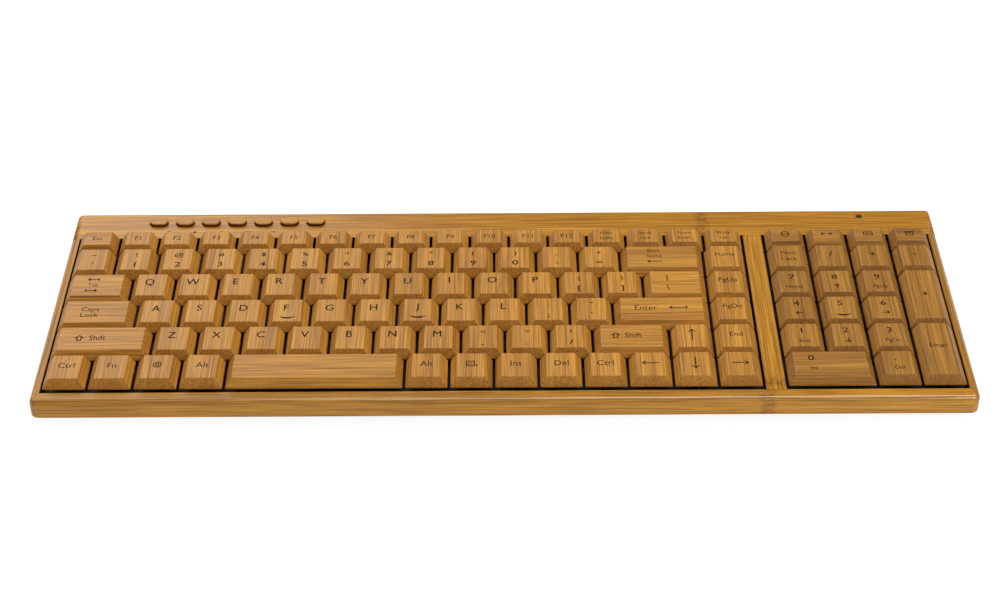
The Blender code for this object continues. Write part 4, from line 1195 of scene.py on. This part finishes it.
def rear_cuts():
    """The rear rail's hollow, which runs out past its inner side and foot, and its holes."""
    low, high = deck_box("rear_rail")
    half, top = high.x, high.z
    past_side, past_foot = 3, 40
    hollow = rectangle(SIDE_WALL - half, half - SIDE_WALL, low.y - past_side, high.y - REAR_WALL)
    middles, width, depth, _ = button_middles()
    width, depth = width + 2 * HOLE_GAP, depth + 2 * HOLE_GAP
    x, y, _ = ((a + b) / 2 for a, b in zip(*deck_box("status_lens")))
    holes = [stadium(*middle, width, depth) for middle in middles]
    holes.append(circle(x, y, LENS_RADIUS + HOLE_GAP))
    return [
        prism(hollow, top - past_foot, top - STRIP),
        *(prism(hole, top - HOLE_DEPTH, top + OVER) for hole in holes),
    ]


def rear_marks(top):
    """The icons, one in front of each hot button."""
    marks = []
    for (x, y), icon in zip(button_middles()[0], button_icons()):
        place = x + ICON_PLACE[0], y + ICON_PLACE[1]
        for outer, inner in icon:
            outer, inner = moved_by(outer, *place), inner and moved_by(inner, *place)
            marks.append(mark_shape(outer, inner, top - BURN_DEPTH, top + OVER))
    return joined(marks)


def make_rear_rail():
    made = rear_rail()
    at = DECK.inverted() @ made.matrix_world.translation / MM
    bodies = [(f"rear_cut_{number}", body, RAIL_BAMBOO) for number, body in enumerate(rear_cuts())]
    bodies.append(("rear_marks", rear_marks(deck_box("rear_rail")[1].z), BURNT))
    for name, body, look in bodies:
        cut(made, tool(name, body, RAIL_LOOKS, look, at, -at))
    settle([made])
    finish_rail(made)


def make_hot_buttons():
    """Seven oval buttons, their sides painted darker as shade, and the bar that joins them."""
    middles, width, depth, top = button_middles()
    low, high = deck_box("hot_buttons")
    bar_top = low.z + BUTTON_BAR
    for number, (x, y) in enumerate(middles, 1):
        bm = shape(*prism(stadium(0, 0, width, depth, 12), bar_top - BUTTON_SEAM, top))
        bmesh.ops.translate(bm, vec=(0, 0, -top), verts=bm.verts)
        for face in bm.faces:
            # Upright faces take the darker bamboo, painted shade on the buttons' sides
            face.material_index = int(abs(face.normal.z) < 0.5)
        round_off(bm, BUTTON_EDGE, 4, lambda e: min(v.co.z for v in e.verts) > -SAME, angle=60.0)
        made = piece(f"hot_button_{number}", bm, [RAIL_BAMBOO, SHADED_BUTTON_SIDE], (x, y, top))
        mark_grain(made, True, BUTTON_TONES)
        deliver(made, "hot_buttons", "hot_buttons")
    bm = shape(*prism(rectangle(low.x, high.x, low.y, high.y), low.z, bar_top - 2 * BUTTON_SEAM))
    round_off(bm, 0.2, 2)
    made = piece("hot_button_bar", bm, [BLACK_PLASTIC_AND_SHADE])
    deliver(made, "hot_buttons", "hot_buttons")


# What keeps its CAD shape


def dress_nodes():
    silicone = rubber("dome_silicone", (0.60, 0.60, 0.58), (0.72, 0.72, 0.70))
    looks = (
        (BLACK_PLASTIC_AND_SHADE, ("key_plate", "bottom_tray", "battery_door", "power_switch")),
        (BLACK_PLASTIC_AND_SHADE, ("left_tilt_foot", "right_tilt_foot")),
        (BLACK_RUBBER, ("front_grip_strip", "rear_grip_strip")),
        (PLATED_STEEL, ("backing_plate", "space_stabiliser")),
        (PLATED_STEEL, ("left_case_screw", "right_case_screw")),
        (silicone, ("dome_sheet",)),
        (film(), ("contact_membrane",)),
        (lens(), ("status_lens",)),
        (board(), ("controller_board", "button_board")),
        (wrap(), ("left_battery", "right_battery")),
    )
    for look, names in looks:
        for name in names:
            for slot in nodes[name].material_slots:
                slot.material = look


# Studio


def make_floor():
    mesh = bpy.data.meshes.new("floor")
    corners = [(x, y, 0) for x, y in rectangle(-FLOOR_HALF, FLOOR_HALF, -FLOOR_HALF, FLOOR_HALF)]
    mesh.from_pydata(corners, [], [(0, 1, 2, 3)])
    mesh.materials.append(floor_look())
    put_in_scene("floor", mesh)


def make_studio():
    world = bpy.data.worlds.new("studio")
    bpy.context.scene.world = world
    world.use_nodes = True
    background = world.node_tree.nodes["Background"]
    background.inputs["Color"].default_value = (1.0, 1.0, 1.0, 1.0)
    background.inputs["Strength"].default_value = WORLD_STRENGTH
    for name, (at, aim, width, depth, power) in LIGHTS.items():
        light = bpy.data.lights.new(name, "AREA")
        light.shape = "RECTANGLE"
        light.size, light.size_y, light.energy = width, depth, power
        holder = put_in_scene(name, light)
        holder.location = at
        holder.rotation_mode = "QUATERNION"
        holder.rotation_quaternion = (Vector(aim) - Vector(at)).to_track_quat("-Z", "Y")


def make_camera():
    """The photograph's viewpoint: about 35 degrees above the table, nearly straight on."""
    camera = put_in_scene("camera", bpy.data.cameras.new("camera"))
    turns = zip(CAMERA_TURN, "ZXZ")
    yaw, pitch, roll = (Matrix.Rotation(math.radians(angle), 4, axis) for angle, axis in turns)
    camera.matrix_world = Matrix.Translation(CAMERA_PLACE) @ (yaw @ pitch @ roll)
    camera.data.sensor_width = 36.0
    camera.data.lens = CAMERA_LENS
    camera.data.clip_end = 20.0
    bpy.context.scene.camera = camera
    bpy.context.scene.view_settings.view_transform = "Standard"


make_camera()
make_studio()
make_floor()
make_caps()
make_rails()
make_rear_rail()
make_hot_buttons()
dress_nodes()
